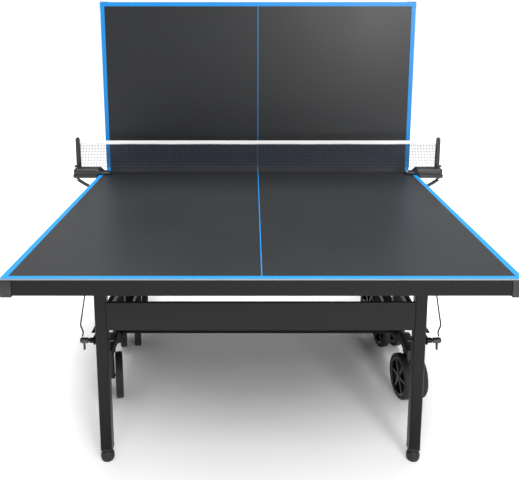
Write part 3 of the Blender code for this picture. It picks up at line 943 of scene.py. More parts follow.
@dataclass(frozen=True)
class HalfPlace:
    """Where one half table's groups stand. Distances are from the net edge and the floor."""

    name: str
    turned: float
    folded: float
    pivot_y: ClassVar[float] = 0.496
    pivot_z: ClassVar[float] = 0.7015
    leg_y: ClassVar[float] = 1.125
    link_z: ClassVar[float] = 0.443

    @property
    def base(self) -> np.ndarray:
        """From the half's places to the row frame, by way of the top's pivot joint."""
        joint = next(j for j in frame["joints"] if j["name"] == f"{self.name}_top_fold")
        edge = joint["pos_m"][1] - math.cos(self.turned) * self.pivot_y
        return shift(0.0, edge, 0.0) @ turn(self.turned, "Z")

    def matrix(self, group: Group) -> np.ndarray:
        """The 4x4 matrix that carries a group's pieces to where they stand at rest.

        The top folds about its pivot, the legs turn back about their hinge so that they stay
        upright, and the links turn with the top about their own end.

        Args:
            group: the group of pieces.

        Returns:
            The matrix.
        """
        fold = turn(self.folded, "X")
        about_pivot = (shift(0, self.pivot_y, self.pivot_z) @ fold
                       @ shift(0, -self.pivot_y, -self.pivot_z))
        about_hinge = (shift(0, self.leg_y, self.pivot_z) @ turn(-self.folded, "X")
                       @ shift(0, -self.leg_y, -self.pivot_z))
        about_link = (shift(0, self.pivot_y, self.link_z) @ fold
                      @ shift(0, -self.pivot_y, -self.link_z))
        moves = {
            Group.TROLLEY: np.eye(4),
            Group.TOP: about_pivot,
            Group.LEGS: about_pivot @ about_hinge,
            Group.LINKS: about_link,
        }
        return self.base @ moves[group]

    def word(self, side: int) -> str:
        """left or right, as the row frame names the half's own side -1 or 1."""
        return "right" if side * math.cos(self.turned) > 0 else "left"


class Workshop:
    """Turns skins into pieces and keeps the finishes, each made once."""

    def __init__(self) -> None:
        """Makes every finish that more than one piece wears."""
        finishes = {
            "frame_paint": PowderCoat("frame_powder_coat", (0.0036, 0.0037, 0.0040), 0.40),
            "beam_paint": PowderCoat("beam_powder_coat", (0.0060, 0.0061, 0.0064), 0.38, 700.0),
            "leg_paint": PowderCoat("leg_powder_coat", (0.0040, 0.0041, 0.0044), 0.34),
            "cap_plastic": MouldedPlastic("cap_plastic", (0.0040, 0.0041, 0.0044), 0.42),
            "caster_plastic": MouldedPlastic("caster_nylon", (0.0035, 0.0035, 0.0038), 0.20,
                                             0.015 * MM, 0.35),
            "clamp_plastic": MouldedPlastic("clamp_plastic", (0.0045, 0.0046, 0.0050), 0.36),
            "knob_plastic": MouldedPlastic("knob_plastic", (0.0045, 0.0045, 0.0048), 0.28,
                                           0.02 * MM, 0.25),
            "tyre": Rubber("tyre_rubber"),
            "foot_rubber": Rubber("foot_rubber", (0.0045, 0.0045, 0.0048)),
            "wire": PowderCoat("wire_coating", (0.0050, 0.0051, 0.0054), 0.30, 1600.0, 0.02 * MM),
            "zinc": BareSteel("zinc_plate"),
            "black_steel": BareSteel("blackened_steel", (0.055, 0.056, 0.060), 0.36),
            "pale_button": MouldedPlastic("pale_button", (0.62, 0.63, 0.64), 0.35),
        }
        self.finish = {key: item.build() for key, item in finishes.items()}

    def piece(self, name: str, skin: Skin, place: np.ndarray, finish: str, body: str,
              replaces: Sequence[str] = (), slot: str | None = None) -> bpy.types.Object:
        """A finished piece that rides on its body.

        Args:
            name: the piece's name.
            skin: its surfaces.
            place: 4x4 matrix that carries it to the row frame.
            finish: key of its finish.
            body: the CAD body it rides on.
            replaces: the CAD nodes it stands for.
            slot: a material slot name from the record, not used.

        Returns:
            The object.
        """
        mesh = skin.mesh(name, place)
        mesh.materials.append(self.finish[finish])
        obj = bpy.data.objects.new(name, mesh)
        bpy.context.scene.collection.objects.link(obj)
        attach(obj, body)
        if replaces:
            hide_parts(*replaces)
        LOG.info("%s: %d faces on %s", name, len(mesh.polygons), body)
        return obj

    def repaint(self, node: str, material: bpy.types.Material) -> None:
        """Gives a CAD node that keeps its own shape a better material."""
        obj = frame["nodes"][node]
        obj.material_slots[0].material = material
        LOG.info("%s: repainted with %s", node, material.name)


# ---------------------------------------------------------------- the half table


@dataclass
class Top:
    """The playing panel on its frame, with corner caps and fixing screws."""

    shop: Workshop
    place: HalfPlace
    half_width: float = 762.5 * MM
    length: float = 1370 * MM
    frame_x: float = 762 * MM
    frame_y: Pair = (30 * MM, 1369.5 * MM)
    frame_bottom: float = 706.3 * MM
    panel_under: float = 753.7 * MM
    flange: float = 25 * MM
    members: tuple[float, ...] = (0.200, 0.800, 1.125)
    cap_leg: float = 36 * MM
    cap_proud: float = 2.8 * MM
    cap_end_share: float = 0.82
    cap_wall: float = 2.3 * MM
    cap_bottom: float = 701.3 * MM
    cap_corner: float = 6 * MM
    cap_inset: Pair = (0.6 * MM, 1 * MM)
    screw_y: tuple[float, ...] = (0.12, 0.45, 0.78, 1.06, 1.26)
    screw_x: tuple[float, ...] = (-0.6, -0.3, 0.0, 0.3, 0.6)
    screw_head: Line = ((4.6, 0.0), (4.6, -0.8), (3.8, -1.8), (2.2, -2.4), (1.0, -2.2))
    weld_off: float = 15.6 * MM
    weld_drop: Pair = (3 * MM, 29 * MM)
    weld_size: float = 1.8 * MM

    def build(self) -> None:
        """Dresses the panel and the frame, and makes the caps and the screws."""
        name = self.place.name
        low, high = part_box(f"{name}_top_panel")
        level = self.place.folded == 0.0
        laminate = Laminate(
            f"{name}_laminate", net_edge=high.y if level else low.z, along="y" if level else "z",
            face=high.z if level else low.y, half_width=self.half_width, length=self.length)
        self.shop.repaint(f"{name}_top_panel", laminate.build())
        self.shop.repaint(f"{name}_top_frame", self.shop.finish["frame_paint"])
        matrix = self.place.matrix(Group.TOP)
        for side in SIDES:
            for end, word in enumerate(("net", "end")):
                cap = f"{name}_corner_cap_{word}_{self.place.word(side)}"
                self.shop.piece(f"{cap}_moulding", self.corner_cap(side, end), matrix,
                                "cap_plastic", f"{name}_top", [cap])
        self.shop.piece(f"{name}_frame_screws", self.screws(), matrix, "black_steel",
                        f"{name}_top", slot="frame_paint")
        self.shop.piece(f"{name}_frame_welds", self.welds(), matrix, "frame_paint",
                        f"{name}_top")

    def corner_cap(self, side: int, end: int) -> Skin:
        """A moulded cap: a thin wall bent round the corner, on a flat floor.

        Args:
            side: -1 or 1.
            end: 0 at the net edge, 1 at the free end.

        Returns:
            The cap's surfaces.
        """
        way = 1 if end else -1
        out_x = self.frame_x + self.cap_proud
        out_y = self.frame_y[end] + way * self.cap_proud * self.cap_end_share
        middle = self.cap_wall / 2
        corners = ((side * (out_x - self.cap_leg), out_y - way * middle, 0.0),
                   (side * (out_x - middle), out_y - way * middle, 0.0),
                   (side * (out_x - middle), out_y - way * self.cap_leg, 0.0))
        path = bent_path(corners, self.cap_corner, 6)
        path[:, 2] = (self.cap_bottom + self.panel_under) / 2
        section = rounded_rectangle(self.cap_wall, self.panel_under - self.cap_bottom,
                                    0.9 * MM, 3)
        skin = Skin().sweep(path, section, (0, 0, 1))
        outer, inner = self.cap_inset
        floor_x = (side * (out_x - self.cap_leg + inner), side * (out_x - outer))
        floor_y = (out_y - way * (self.cap_leg - inner), out_y - way * outer)
        return skin.rounded_box((floor_x[0], floor_y[0], self.cap_bottom),
                                (floor_x[1], floor_y[1], self.frame_bottom - 0.4 * MM),
                                corner=5 * MM, edge=1 * MM)

    def screws(self) -> Skin:
        """Pan head screws under the frame's flanges, one row a side and one an end."""
        skin = Skin()
        x_reach, z = self.frame_x - self.flange / 2, self.frame_bottom
        y_end = self.frame_y[1] - self.flange / 2
        spots = [(side * x_reach, y, z) for side in SIDES for y in self.screw_y]
        spots += [(x, y_end, z) for x in self.screw_x]
        for spot in spots:
            skin.lathe(profile(self.screw_head), 16, spot, Axis.Z)
        return skin

    def welds(self) -> Skin:
        """Weld beads where the cross members meet the rims."""
        skin = Skin()
        inner = self.frame_x - self.flange
        high, low = (self.panel_under - drop for drop in self.weld_drop)
        steps = 26
        for side in SIDES:
            for edge in (y + way * self.weld_off for y in self.members for way in SIDES):
                path = np.linspace((side * inner, edge, low), (side * inner, edge, high), steps)
                skin.sweep(path, CIRCLE_8 * self.weld_size, (1, 0, 0), bead_scale(steps))
        return skin


def bead_scale(count: int) -> np.ndarray:
    """Sizes along a weld bead: rounded ends and ripples, as a sine over the run.

    Args:
        count: points on the bead's path.

    Returns:
        One factor a point.
    """
    s = np.linspace(0.0, 1.0, count)
    ends = np.clip(np.minimum(s, 1 - s) * 9.0 + 0.15, 0.0, 1.0) ** 0.5
    return ends * (1.0 + 0.13 * np.sin(s * count * 1.9))


@dataclass
class LegSet:
    """Two legs with their beam, feet, lock pins and release wires."""

    shop: Workshop
    place: HalfPlace
    leg_x: Pair = (507.7 * MM, 547.7 * MM)
    half_depth: float = 20 * MM
    bottom: float = 45.5 * MM
    tube_corner: float = 5 * MM
    beam_z: Pair = (487 * MM, 587 * MM)
    beam_y: Pair = (1133.4 * MM, 1145 * MM)
    beam_wall: float = 1.6 * MM
    beam_lip: float = 8 * MM
    beam_bend: float = 3.4 * MM
    weld_size: float = 2.0 * MM
    pin: Line = ((9.5, 492.6), (9.5, 497.6), (8.6, 498.8), (5.8, 498.9), (5.8, 568.0),
                 (5.0, 571.0), (2.0, 572.0))
    foot_radius: float = 23.5 * MM
    foot_middle: float = 16.5 * MM
    foot_reach: float = 26.5 * MM
    foot_top: float = 38.5 * MM
    foot_ribs: int = 20
    stem_radius: float = 5.6 * MM
    stem_z: Pair = (37 * MM, 80 * MM)
    thread_depth: float = 0.4 * MM
    nut_z: float = 38.2 * MM
    nut_radius: float = 11 * MM
    grip: Line = ((7.0, 574.8), (8.8, 576.0), (9.6, 578.5), (9.6, 582.5), (8.7, 584.0),
                  (8.7, 585.5), (9.8, 587.0), (10.0, 592.0), (9.9, 597.0), (9.0, 600.6),
                  (6.5, 602.6), (2.5, 603.0))
    grip_flutes_x: float = 586 * MM
    tab_x: Pair = (586.5 * MM, 592.5 * MM)
    tab_half: float = 6.5 * MM
    tab_drop: Pair = (6 * MM, 33 * MM)
    shaft: Line = ((2.5, 490.2), (4.6, 492.5), (4.9, 494.0), (4.9, 575.5), (4.0, 576.0))
    spring_x: float = 499.5
    spring_length: float = 6.5
    spring_turns: float = 2.5
    spring_radius: float = 6.2 * MM
    spring_gauge: float = 0.6 * MM
    wire_radius: float = 2.5 * MM
    hook_x: float = 564.5 * MM
    hook_radius: float = 9.5 * MM
    wire_run: Line = ((566.5, 680.0), (580.0, 605.0), (593.5, 530.0), (598.6, 497.7),
                      (592.0, 474.0), (595.0, 455.8))

    def build(self) -> None:
        """Makes the set's pieces."""
        name, matrix = self.place.name, self.place.matrix(Group.LEGS)
        body = f"{name}_legs"
        self.shop.piece(f"{name}_leg_beam_channel", self.beam(), matrix, "beam_paint", body,
                        [f"{name}_leg_beam"])
        for side in SIDES:
            word = self.place.word(side)
            lock = f"{name}_lock_{word}"
            self.shop.piece(f"{name}_leg_tube_{word}", self.leg(side), matrix, "leg_paint", body,
                            [f"{name}_leg_{word}"])
            self.shop.piece(f"{name}_leg_plug_{word}", self.plug(side), matrix, "cap_plastic",
                            body)
            self.shop.piece(f"{name}_leg_hinge_pin_{word}", self.hinge_pin(side), matrix, "zinc",
                            body, slot="leg_paint")
            self.shop.piece(f"{name}_foot_ball_{word}", self.foot(side), matrix, "foot_rubber",
                            f"{name}_foot_{word}_body", [f"{name}_foot_{word}"])
            self.shop.piece(f"{name}_foot_nut_{word}", self.foot_nut(side), matrix, "black_steel",
                            f"{name}_foot_{word}_body", slot="foot_rubber")
            self.shop.piece(f"{name}_pull_knob_{word}", self.knob(side), matrix, "knob_plastic",
                            lock, [f"{name}_lock_pin_{word}"])
            self.shop.piece(f"{name}_lock_shaft_{word}", self.lock_shaft(side), matrix,
                            "black_steel", lock, slot="knob_plastic")
            self.shop.piece(f"{name}_release_rod_{word}", self.wire(side), matrix, "wire", lock,
                            [f"{name}_release_wire_{word}"])

    @property
    def mid_x(self) -> float:
        """Distance of a leg's middle from the centre line."""
        return sum(self.leg_x) / 2

    def leg(self, side: int) -> Skin:
        """A square tube with rounded corners and a half-round head, and weld beads at the beam.

        Args:
            side: -1 or 1.

        Returns:
            The leg's surfaces.
        """
        y, head_z = self.place.leg_y, self.place.pivot_z
        head = arc((y, head_z), self.half_depth, 0.0, 180.0, 17)
        base = np.array([(y - self.half_depth, self.bottom), (y + self.half_depth, self.bottom)])
        span = (side * self.leg_x[0], side * self.leg_x[1])
        skin = Skin().rounded_prism(np.concatenate((base, head)), span, self.tube_corner, Axis.X,
                                    5)
        bead_x = side * (self.leg_x[0] + 0.2 * MM)
        steps = 60
        z = np.linspace(self.beam_z[0] + 4 * MM, self.beam_z[1] - 4 * MM, steps)
        path = np.stack((np.full(steps, bead_x), np.full(steps, self.beam_y[0]), z), 1)
        return skin.sweep(path, CIRCLE_8 * self.weld_size, (1, 0, 0), bead_scale(steps))

    def plug(self, side: int) -> Skin:
        """The plastic plug in the leg's lower end, a little wider than the tube."""
        y, x = self.place.leg_y, side * self.mid_x
        reach = self.half_depth + 0.5 * MM
        return Skin().rounded_box((x - reach, y - reach, self.bottom - 1.5 * MM),
                                  (x + reach, y + reach, self.bottom + 3.5 * MM),
                                  corner=5 * MM, edge=1 * MM)

    def hinge_pin(self, side: int) -> Skin:
        """The pin through the leg's head, with its head inside and a domed end outside."""
        centre = (0, self.place.leg_y, self.place.pivot_z)
        return Skin().lathe(profile(self.pin, side), 24, centre, Axis.X)

    def foot(self, side: int) -> Skin:
        """A levelling foot: a ball flattened where it stands, with a ribbed grip.

        The radius is foot_radius * sqrt(1 - ((z - foot_middle) / foot_reach)^2), with ribs
        round its waist.

        Args:
            side: -1 or 1.

        Returns:
            The foot's surfaces.
        """
        z = np.linspace(0.0, self.foot_top, 22)
        ball = self.foot_radius * np.sqrt(1 - ((z - self.foot_middle) / self.foot_reach) ** 2)
        ball[0] -= 0.8 * MM

        def ribs(angle: np.ndarray, level: np.ndarray) -> np.ndarray:
            """Ribs that fade out above and below the waist."""
            waist = np.clip(1 - np.abs(level - self.foot_middle) / (11 * MM), 0, 1)
            return 1 - 0.035 * waist * (0.5 + 0.5 * np.cos(self.foot_ribs * angle))

        centre = (side * self.mid_x, self.place.leg_y, 0)
        return Skin().lathe(np.stack((ball, z), 1), 120, centre, Axis.Z, ribs)

    def foot_nut(self, side: int) -> Skin:
        """The foot's threaded stem, its thread a fine saw-tooth, with a lock nut."""
        x, y = side * self.mid_x, self.place.leg_y
        z = np.linspace(*self.stem_z, 60)
        radius = self.stem_radius + self.thread_depth * (np.arange(60) % 2)
        skin = Skin().lathe(np.stack((radius, z), 1), 20, (x, y, 0), Axis.Z)
        return skin.bolt((x, y, self.nut_z), Axis.Z, self.nut_radius, 5.6 * MM)

    def beam(self) -> Skin:
        """A pressed channel with rolled edges, open towards the net, with short lips."""
        z0, z1 = (z + way * 1 * MM for z, way in zip(self.beam_z, (1, -1)))
        y0, y1 = self.beam_y[0] + 1 * MM, self.beam_y[1] - self.beam_wall / 2
        corners = ((y0, z0 + self.beam_lip), (y0, z0), (y1, z0), (y1, z1), (y0, z1),
                   (y0, z1 - self.beam_lip))
        line = bent_path(corners, self.beam_bend, 5)
        reach = self.leg_x[0] - 0.4 * MM
        return Skin().channel(line, self.beam_wall, (-reach, reach), Axis.X)

    def knob(self, side: int) -> Skin:
        """The pull knob, fluted, with a grip tab that hangs under it."""
        def flutes(angle: np.ndarray, level: np.ndarray) -> np.ndarray:
            """Ten shallow flutes on the outer part."""
            outer = np.clip((np.abs(level) - self.grip_flutes_x) / (3 * MM), 0, 1)
            return 1 - 0.06 * outer * (0.5 + 0.5 * np.cos(10 * angle))

        y, z = self.place.leg_y, self.place.link_z
        skin = Skin().lathe(profile(self.grip, side), 60, (0, y, z), Axis.X, flutes)
        return skin.rounded_box(
            (side * self.tab_x[0], y - self.tab_half, z - self.tab_drop[1]),
            (side * self.tab_x[1], y + self.tab_half, z - self.tab_drop[0]),
            corner=2.4 * MM, edge=2 * MM)

    def lock_shaft(self, side: int) -> Skin:
        """The pin's shaft with a spring coiled round its outer end.

        The spring is a helix: x runs with the turns and (cos, sin) of the angle go round.

        Args:
            side: -1 or 1.

        Returns:
            The shaft's and spring's surfaces.
        """
        y, z = self.place.leg_y, self.place.link_z
        skin = Skin().lathe(profile(self.shaft, side), 20, (0, y, z), Axis.X)
        t = np.linspace(0.0, 1.0, 90)
        angle = 2 * math.pi * self.spring_turns * t
        helix = np.stack((side * (self.spring_x + self.spring_length * t) * MM,
                          y + self.spring_radius * np.cos(angle),
                          z + self.spring_radius * np.sin(angle)), 1)
        return skin.sweep(helix, CIRCLE_8 * self.spring_gauge, (1, 0, 0))

    def wire(self, side: int) -> Skin:
        """The release wire: hooked round the hinge pin, then down with a kink to the knob."""
        y, top = self.place.leg_y, self.place.pivot_z
        hook = arc((y, top), self.hook_radius, -30.0, 250.0)
        points = [(side * self.hook_x, hook_y, hook_z) for hook_y, hook_z in hook]
        points += [(side * x * MM, y, z * MM) for x, z in self.wire_run]
        path = smooth_path(points, 7)
        ends = np.ones(len(path))
        ends[[0, -1]] = 0.55
        return Skin().sweep(path, CIRCLE_12 * self.wire_radius, (0.9, 0.43, 0.05), ends)


@dataclass
class Trolley:
    """The rolling frame: floor rails, uprights and cross tubes, with its links."""

    shop: Workshop
    place: HalfPlace
    rail_x: Pair = (575 * MM, 620 * MM)
    rail_line: Line = (
        (0.1965, 0.214), (0.320, 0.214), (0.376, 0.181), (0.602, 0.181), (0.635, 0.214),
        (0.7955, 0.214))
    rail_height: float = 36 * MM
    rail_bend: float = 16 * MM
    upright_x: Pair = (576 * MM, 619 * MM)
    upright_y: Pair = (476 * MM, 516 * MM)
    upright_z: Pair = (198.5 * MM, 720.5 * MM)
    tubes: tuple[tuple[float, float, float, float], ...] = (
        (479 * MM, 513 * MM, 163 * MM, 197 * MM), (481 * MM, 511 * MM, 355 * MM, 385 * MM))
    tube_corner: float = 5 * MM
    weld_size: float = 1.8 * MM
    plug_over: float = 0.4 * MM
    plug_rib: Pair = (12 * MM, 1 * MM)
    stud: Line = ((7.8, 616.0), (7.8, 633.0), (7.0, 634.0))
    link_stud: Line = ((7.6, 548.6), (7.9, 549.2), (7.9, 550.6), (4.9, 551.0), (4.9, 577.0))
    pivot_nut_x: float = 629.4 * MM
    pivot_nut_radius: float = 12 * MM
    link_x: Pair = (553 * MM, 571.5 * MM)
    link_radius: float = 15 * MM
    link_wall: float = 3.2 * MM
    link_eye: float = 26 * MM
    link_flange: float = 2.4 * MM
    bush: Line = ((9.0, 553.0), (9.0, 570.6), (8.2, 571.4))

    def build(self) -> None:
        """Makes the frame, its plugs, welds and bolts, and the links."""
        name, matrix = self.place.name, self.place.matrix(Group.TROLLEY)
        body = f"{name}_trolley"
        self.shop.piece(f"{name}_trolley_tubes", self.tubing(), matrix, "frame_paint", body,
                        [f"{name}_trolley_frame"])
        self.shop.piece(f"{name}_trolley_plugs", self.plugs(), matrix, "cap_plastic", body)
        self.shop.piece(f"{name}_trolley_bolts", self.bolts(), matrix, "zinc", body,
                        slot="frame_paint")
        links = self.place.matrix(Group.LINKS)
        for side in SIDES:
            word = self.place.word(side)
            self.shop.piece(f"{name}_link_bar_{word}", self.link(side), links, "frame_paint",
                            f"{name}_links", [f"{name}_link_{word}"])

    @property
    def mid_x(self) -> float:
        """Distance of a rail's middle from the centre line."""
        return sum(self.rail_x) / 2

    def tubing(self) -> Skin:
        """Rails swept along their bent line, straight uprights and cross tubes, and welds."""
        skin = Skin()
        width = self.rail_x[1] - self.rail_x[0]
        section = rounded_rectangle(width, self.rail_height, self.tube_corner)
        for side in SIDES:
            flat = bent_path(self.rail_line, self.rail_bend, 6)
            path = np.stack((np.full(len(flat), side * self.mid_x), flat[:, 0], flat[:, 1]), 1)
            skin.sweep(path, section, (0, 0, 1))
            skin.rounded_box((side * self.upright_x[0], self.upright_y[0], self.upright_z[0]),
                             (side * self.upright_x[1], self.upright_y[1], self.upright_z[1]),
                             self.tube_corner, edge=1 * MM)
        reach = self.upright_x[0] + 1 * MM
        corner = 4 * MM
        for y0, y1, z0, z1 in self.tubes:
            skin.rounded_box((-reach, y0, z0), (reach, y1, z1), corner, 0.5 * MM, Axis.X)
            for side in SIDES:
                ring = rounded_rectangle(y1 - y0, z1 - z0, corner, 5)
                loop = np.stack((np.full(len(ring), side * self.upright_x[0]),
                                 ring[:, 0] + (y0 + y1) / 2, ring[:, 1] + (z0 + z1) / 2), 1)
                skin.sweep(loop, CIRCLE_8 * self.weld_size, (1, 0, 0), loop=True)
        return skin

    def plugs(self) -> Skin:
        """End plugs of the rails and the uprights, each a thin rounded cap with a rib."""
        skin = Skin()
        y_ends = (self.rail_line[0][0], self.rail_line[-1][0])
        z = self.rail_line[0][1]
        half = (self.rail_x[1] - self.rail_x[0]) / 2 + self.plug_over
        tall = self.rail_height / 2 + self.plug_over
        rib, thin = self.plug_rib
        top = self.upright_z[1]
        for side in SIDES:
            x = side * self.mid_x
            for way, y in zip(SIDES, y_ends):
                skin.rounded_box((x - half, y - way * 1 * MM, z - tall),
                                 (x + half, y + way * 2.2 * MM, z + tall),
                                 self.tube_corner, 1.2 * MM, Axis.Y)
                skin.rounded_box((x - rib, y, z - thin), (x + rib, y + way * 2.8 * MM, z + thin),
                                 0.9 * MM, 0.5 * MM, Axis.Y)
            skin.rounded_box((side * self.upright_x[0], self.upright_y[0], top),
                             (side * self.upright_x[1], self.upright_y[1], top + 2 * MM),
                             self.tube_corner, edge=0.9 * MM)
        return skin

    def bolts(self) -> Skin:
        """Pivot bolts with nuts, and the studs that carry the links."""
        skin = Skin()
        y = self.place.pivot_y
        top, low = self.place.pivot_z, self.place.link_z
        for side in SIDES:
            skin.lathe(profile(self.stud, side), 20, (0, y, top), Axis.X)
            skin.bolt((side * self.pivot_nut_x, y, top), Axis.X, self.pivot_nut_radius,
                      7.6 * MM, side)
            skin.lathe(profile(self.link_stud, side), 20, (0, y, low), Axis.X)
        return skin

    def link(self, side: int) -> Skin:
        """A flat bar with round ends, two stiffening flanges and a bush in each end.

        Args:
            side: -1 or 1.

        Returns:
            The link's surfaces.
        """
        y0, y1, z = self.place.pivot_y, self.place.leg_y, self.place.link_z
        ends = (arc((y1, z), self.link_radius, -90.0, 90.0, 13),
                arc((y0, z), self.link_radius, 90.0, 270.0, 13))
        bar = (side * self.link_x[0], side * (self.link_x[0] + self.link_wall))
        skin = Skin().rounded_prism(np.concatenate(ends), bar, 0.8 * MM, Axis.X)
        for way in SIDES:
            edge = z + way * self.link_radius
            skin.rounded_box((side * self.link_x[0], y0 + self.link_eye,
                              edge - way * self.link_flange),
                             (side * self.link_x[1], y1 - self.link_eye, edge),
                             0.8 * MM, 1.5 * MM, Axis.Y)
        for y in (y0, y1):
            skin.lathe(profile(self.bush, side), 24, (0, y, z), Axis.X)
        return skin


@dataclass
class Casters:
    """The four twin-wheel casters of a trolley."""

    shop: Workshop
    place: HalfPlace
    turns: Mapping[tuple[int, int], float]
    swivel_x: float = 597.5 * MM
    swivel_y: Pair = (278 * MM, 714 * MM)
    radius: float = 90 * MM
    trail: float = 15 * MM
    inner_x: float = 17.5 * MM
    outer_x: float = 46.5 * MM
    tyre_depth: float = 15 * MM
    shoulder: float = 6 * MM
    groove_pitch: float = 5.2 * MM
    groove_depth: float = 1.1 * MM
    hub_radius: float = 17 * MM
    spokes: int = 6
    spoke_x: float = 16.5 * MM
    spoke_size: Pair = (18 * MM, 13 * MM)
    rim_lap: float = 5 * MM
    hub_lap: float = 3 * MM
    cup: Line = ((8.0, 195.6), (20.5, 195.6), (21.9, 194.6), (21.9, 189.0), (20.8, 186.6),
                 (17.5, 184.8), (8.0, 184.6))
    stem: Line = ((7.8, 190.0), (7.8, 205.0), (7.0, 206.0))
    web_top: Pair = (20.5 * MM, 188.5 * MM)
    web_half: float = 14.4 * MM
    axle_boss: float = 14 * MM
    ring: Line = ((0, 1.5), (0, 27.5), (-1.5, 28.4), (-5, 28.4), (-8, 25.0), (-8, 4.0),
                  (-5, 0.6), (-1.5, 0.6))
    disc_x: Pair = (11.0 * MM, 14.0 * MM)
    bore_radius: float = 8 * MM
    dome: Line = ((-10.4, 0.4), (0, 0.6), (0, 24.0), (-1, 26.6), (-3.5, 28.2), (-9, 28.9),
                  (-10.2, 28.6))
    pin: Line = ((2.0, -46.4), (5.2, -45.6), (5.9, -43.5), (5.9, 43.5), (5.2, 45.6),
                 (2.0, 46.4))

    def build(self) -> None:
        """Makes each caster's housing, wheels and tyres."""
        name = self.place.name
        for (side, end), degrees in self.turns.items():
            spot = f"{('net', 'end')[end]}_{self.place.word(side)}"
            at = (self.place.base @ shift(side * self.swivel_x, self.swivel_y[end], 0)
                  @ turn(math.radians(degrees), "Z"))
            wheels = f"{name}_wheels_{spot}"
            self.shop.piece(f"{name}_caster_housing_{spot}", self.housing(), at,
                            "caster_plastic", f"{name}_caster_{spot}",
                            [f"{name}_caster_fork_{spot}"])
            self.shop.piece(f"{name}_caster_hubs_{spot}", self.hubs(), at, "caster_plastic",
                            wheels, [f"{name}_caster_wheels_{spot}"])
            self.shop.piece(f"{name}_caster_tyres_{spot}", self.tyres(), at, "tyre", wheels)
            self.shop.piece(f"{name}_caster_axle_{spot}", self.axle(), at, "zinc", wheels,
                            slot="caster_plastic")

    @property
    def centre(self) -> tuple[float, float, float]:
        """The axle's middle."""
        return (0.0, self.trail, self.radius)

    def housing(self) -> Skin:
        """The swivel cup, stem and the web that carries the axle between the wheels."""
        skin = Skin().lathe(profile(self.cup), 40, (0, 0, 0), Axis.Z)
        skin.lathe(profile(self.stem), 20, (0, 0, 0), Axis.Z)
        boss = arc((self.trail, self.radius), self.axle_boss, 180.0, 360.0, 15)
        reach, top = self.web_top
        outline = np.concatenate((boss, [(reach, top), (-reach, top)]))
        return skin.rounded_prism(outline, (-self.web_half, self.web_half), 3 * MM, Axis.X, 4)

    def hubs(self) -> Skin:
        """Both wheels: a rim ring, a thin disc, raised spokes and a domed hub each.

        The ring's line is measured from the rim's radius and the dome's from the hub's.

        Returns:
            The surfaces of the two wheels.
        """
        skin = Skin()
        rim = self.radius - self.tyre_depth
        ring = profile(self.ring) + (rim, 0.0)
        dome = profile(self.dome) + (self.hub_radius, 0.0)
        low, high = self.disc_x
        edge = rim - 6 * MM
        disc = np.array([(self.bore_radius, low), (edge, low), (edge, high),
                         (self.bore_radius, high)])
        for way in SIDES:
            face = np.array((1.0, way))
            offset = np.array((0.0, way * self.inner_x))
            skin.lathe(ring * face + offset, 96, self.centre, Axis.X, loop=True)
            for line in (disc, dome):
                skin.lathe(line * face + offset, 64, self.centre, Axis.X)
            for k in range(self.spokes):
                self._spoke(skin, way, 2 * math.pi * k / self.spokes, rim)
        return skin

    def _spoke(self, skin: Skin, way: int, angle: float, rim: float) -> None:
        """Adds one spoke: a rounded bar from the hub to the rim, wider at the hub.

        Args:
            skin: the wheels' skin.
            way: the wheel's side.
            angle: the spoke's direction.
            rim: the rim's outer radius.
        """
        s = np.linspace(0.0, 1.0, 7)
        start, end = self.hub_radius - self.hub_lap, rim - self.rim_lap
        reach = start + s * (end - start)
        direction = np.array((0.0, math.cos(angle), math.sin(angle)))
        x = way * (self.inner_x + self.spoke_x)
        path = np.asarray(self.centre) + np.array((x, 0, 0)) + reach[:, None] * direction
        section = rounded_rectangle(*self.spoke_size, 3 * MM, 3)
        width = np.stack((1.0 - 0.12 * s, 1.15 - 0.45 * s + 0.25 * s ** 4), 1)
        skin.sweep(path, section, np.cross(direction, (1, 0, 0)), width)

    def tyres(self) -> Skin:
        """Two tyres with rounded shoulders and three tread grooves, closed rings.

        Across the tread the radius is the full radius less a groove depth where the cosine of
        the width over the groove pitch is high.

        Returns:
            The surfaces of the two tyres.
        """
        width = self.outer_x - self.inner_x
        inner = self.radius - self.tyre_depth - 0.6 * MM
        shoulder = self.shoulder
        rise = arc((self.radius - shoulder, shoulder), shoulder, 270.0, 360.0, 7)
        fall = arc((self.radius - shoulder, width - shoulder), shoulder, 0.0, 90.0, 7)
        across = np.linspace(shoulder, width - shoulder, 25)[1:-1]
        phase = (across - width / 2) / self.groove_pitch * 2 * math.pi
        groove = np.clip(np.cos(phase) * 3 - 2, 0, 1)
        tread = np.stack((self.radius - self.groove_depth * groove, across), 1)
        ring = np.concatenate(([(inner, 0.8 * MM), (inner + 4 * MM, 0.0)], rise, tread, fall,
                               [(inner + 4 * MM, width), (inner, width - 0.8 * MM)]))
        skin = Skin()
        for way in SIDES:
            placed = ring * (1.0, way) + (0.0, way * self.inner_x)
            skin.lathe(placed, 96, self.centre, Axis.X, loop=True)
        return skin

    def axle(self) -> Skin:
        """The axle with a domed nut in each hub."""
        return Skin().lathe(profile(self.pin), 24, self.centre, Axis.X)


# ---------------------------------------------------------------- the net set


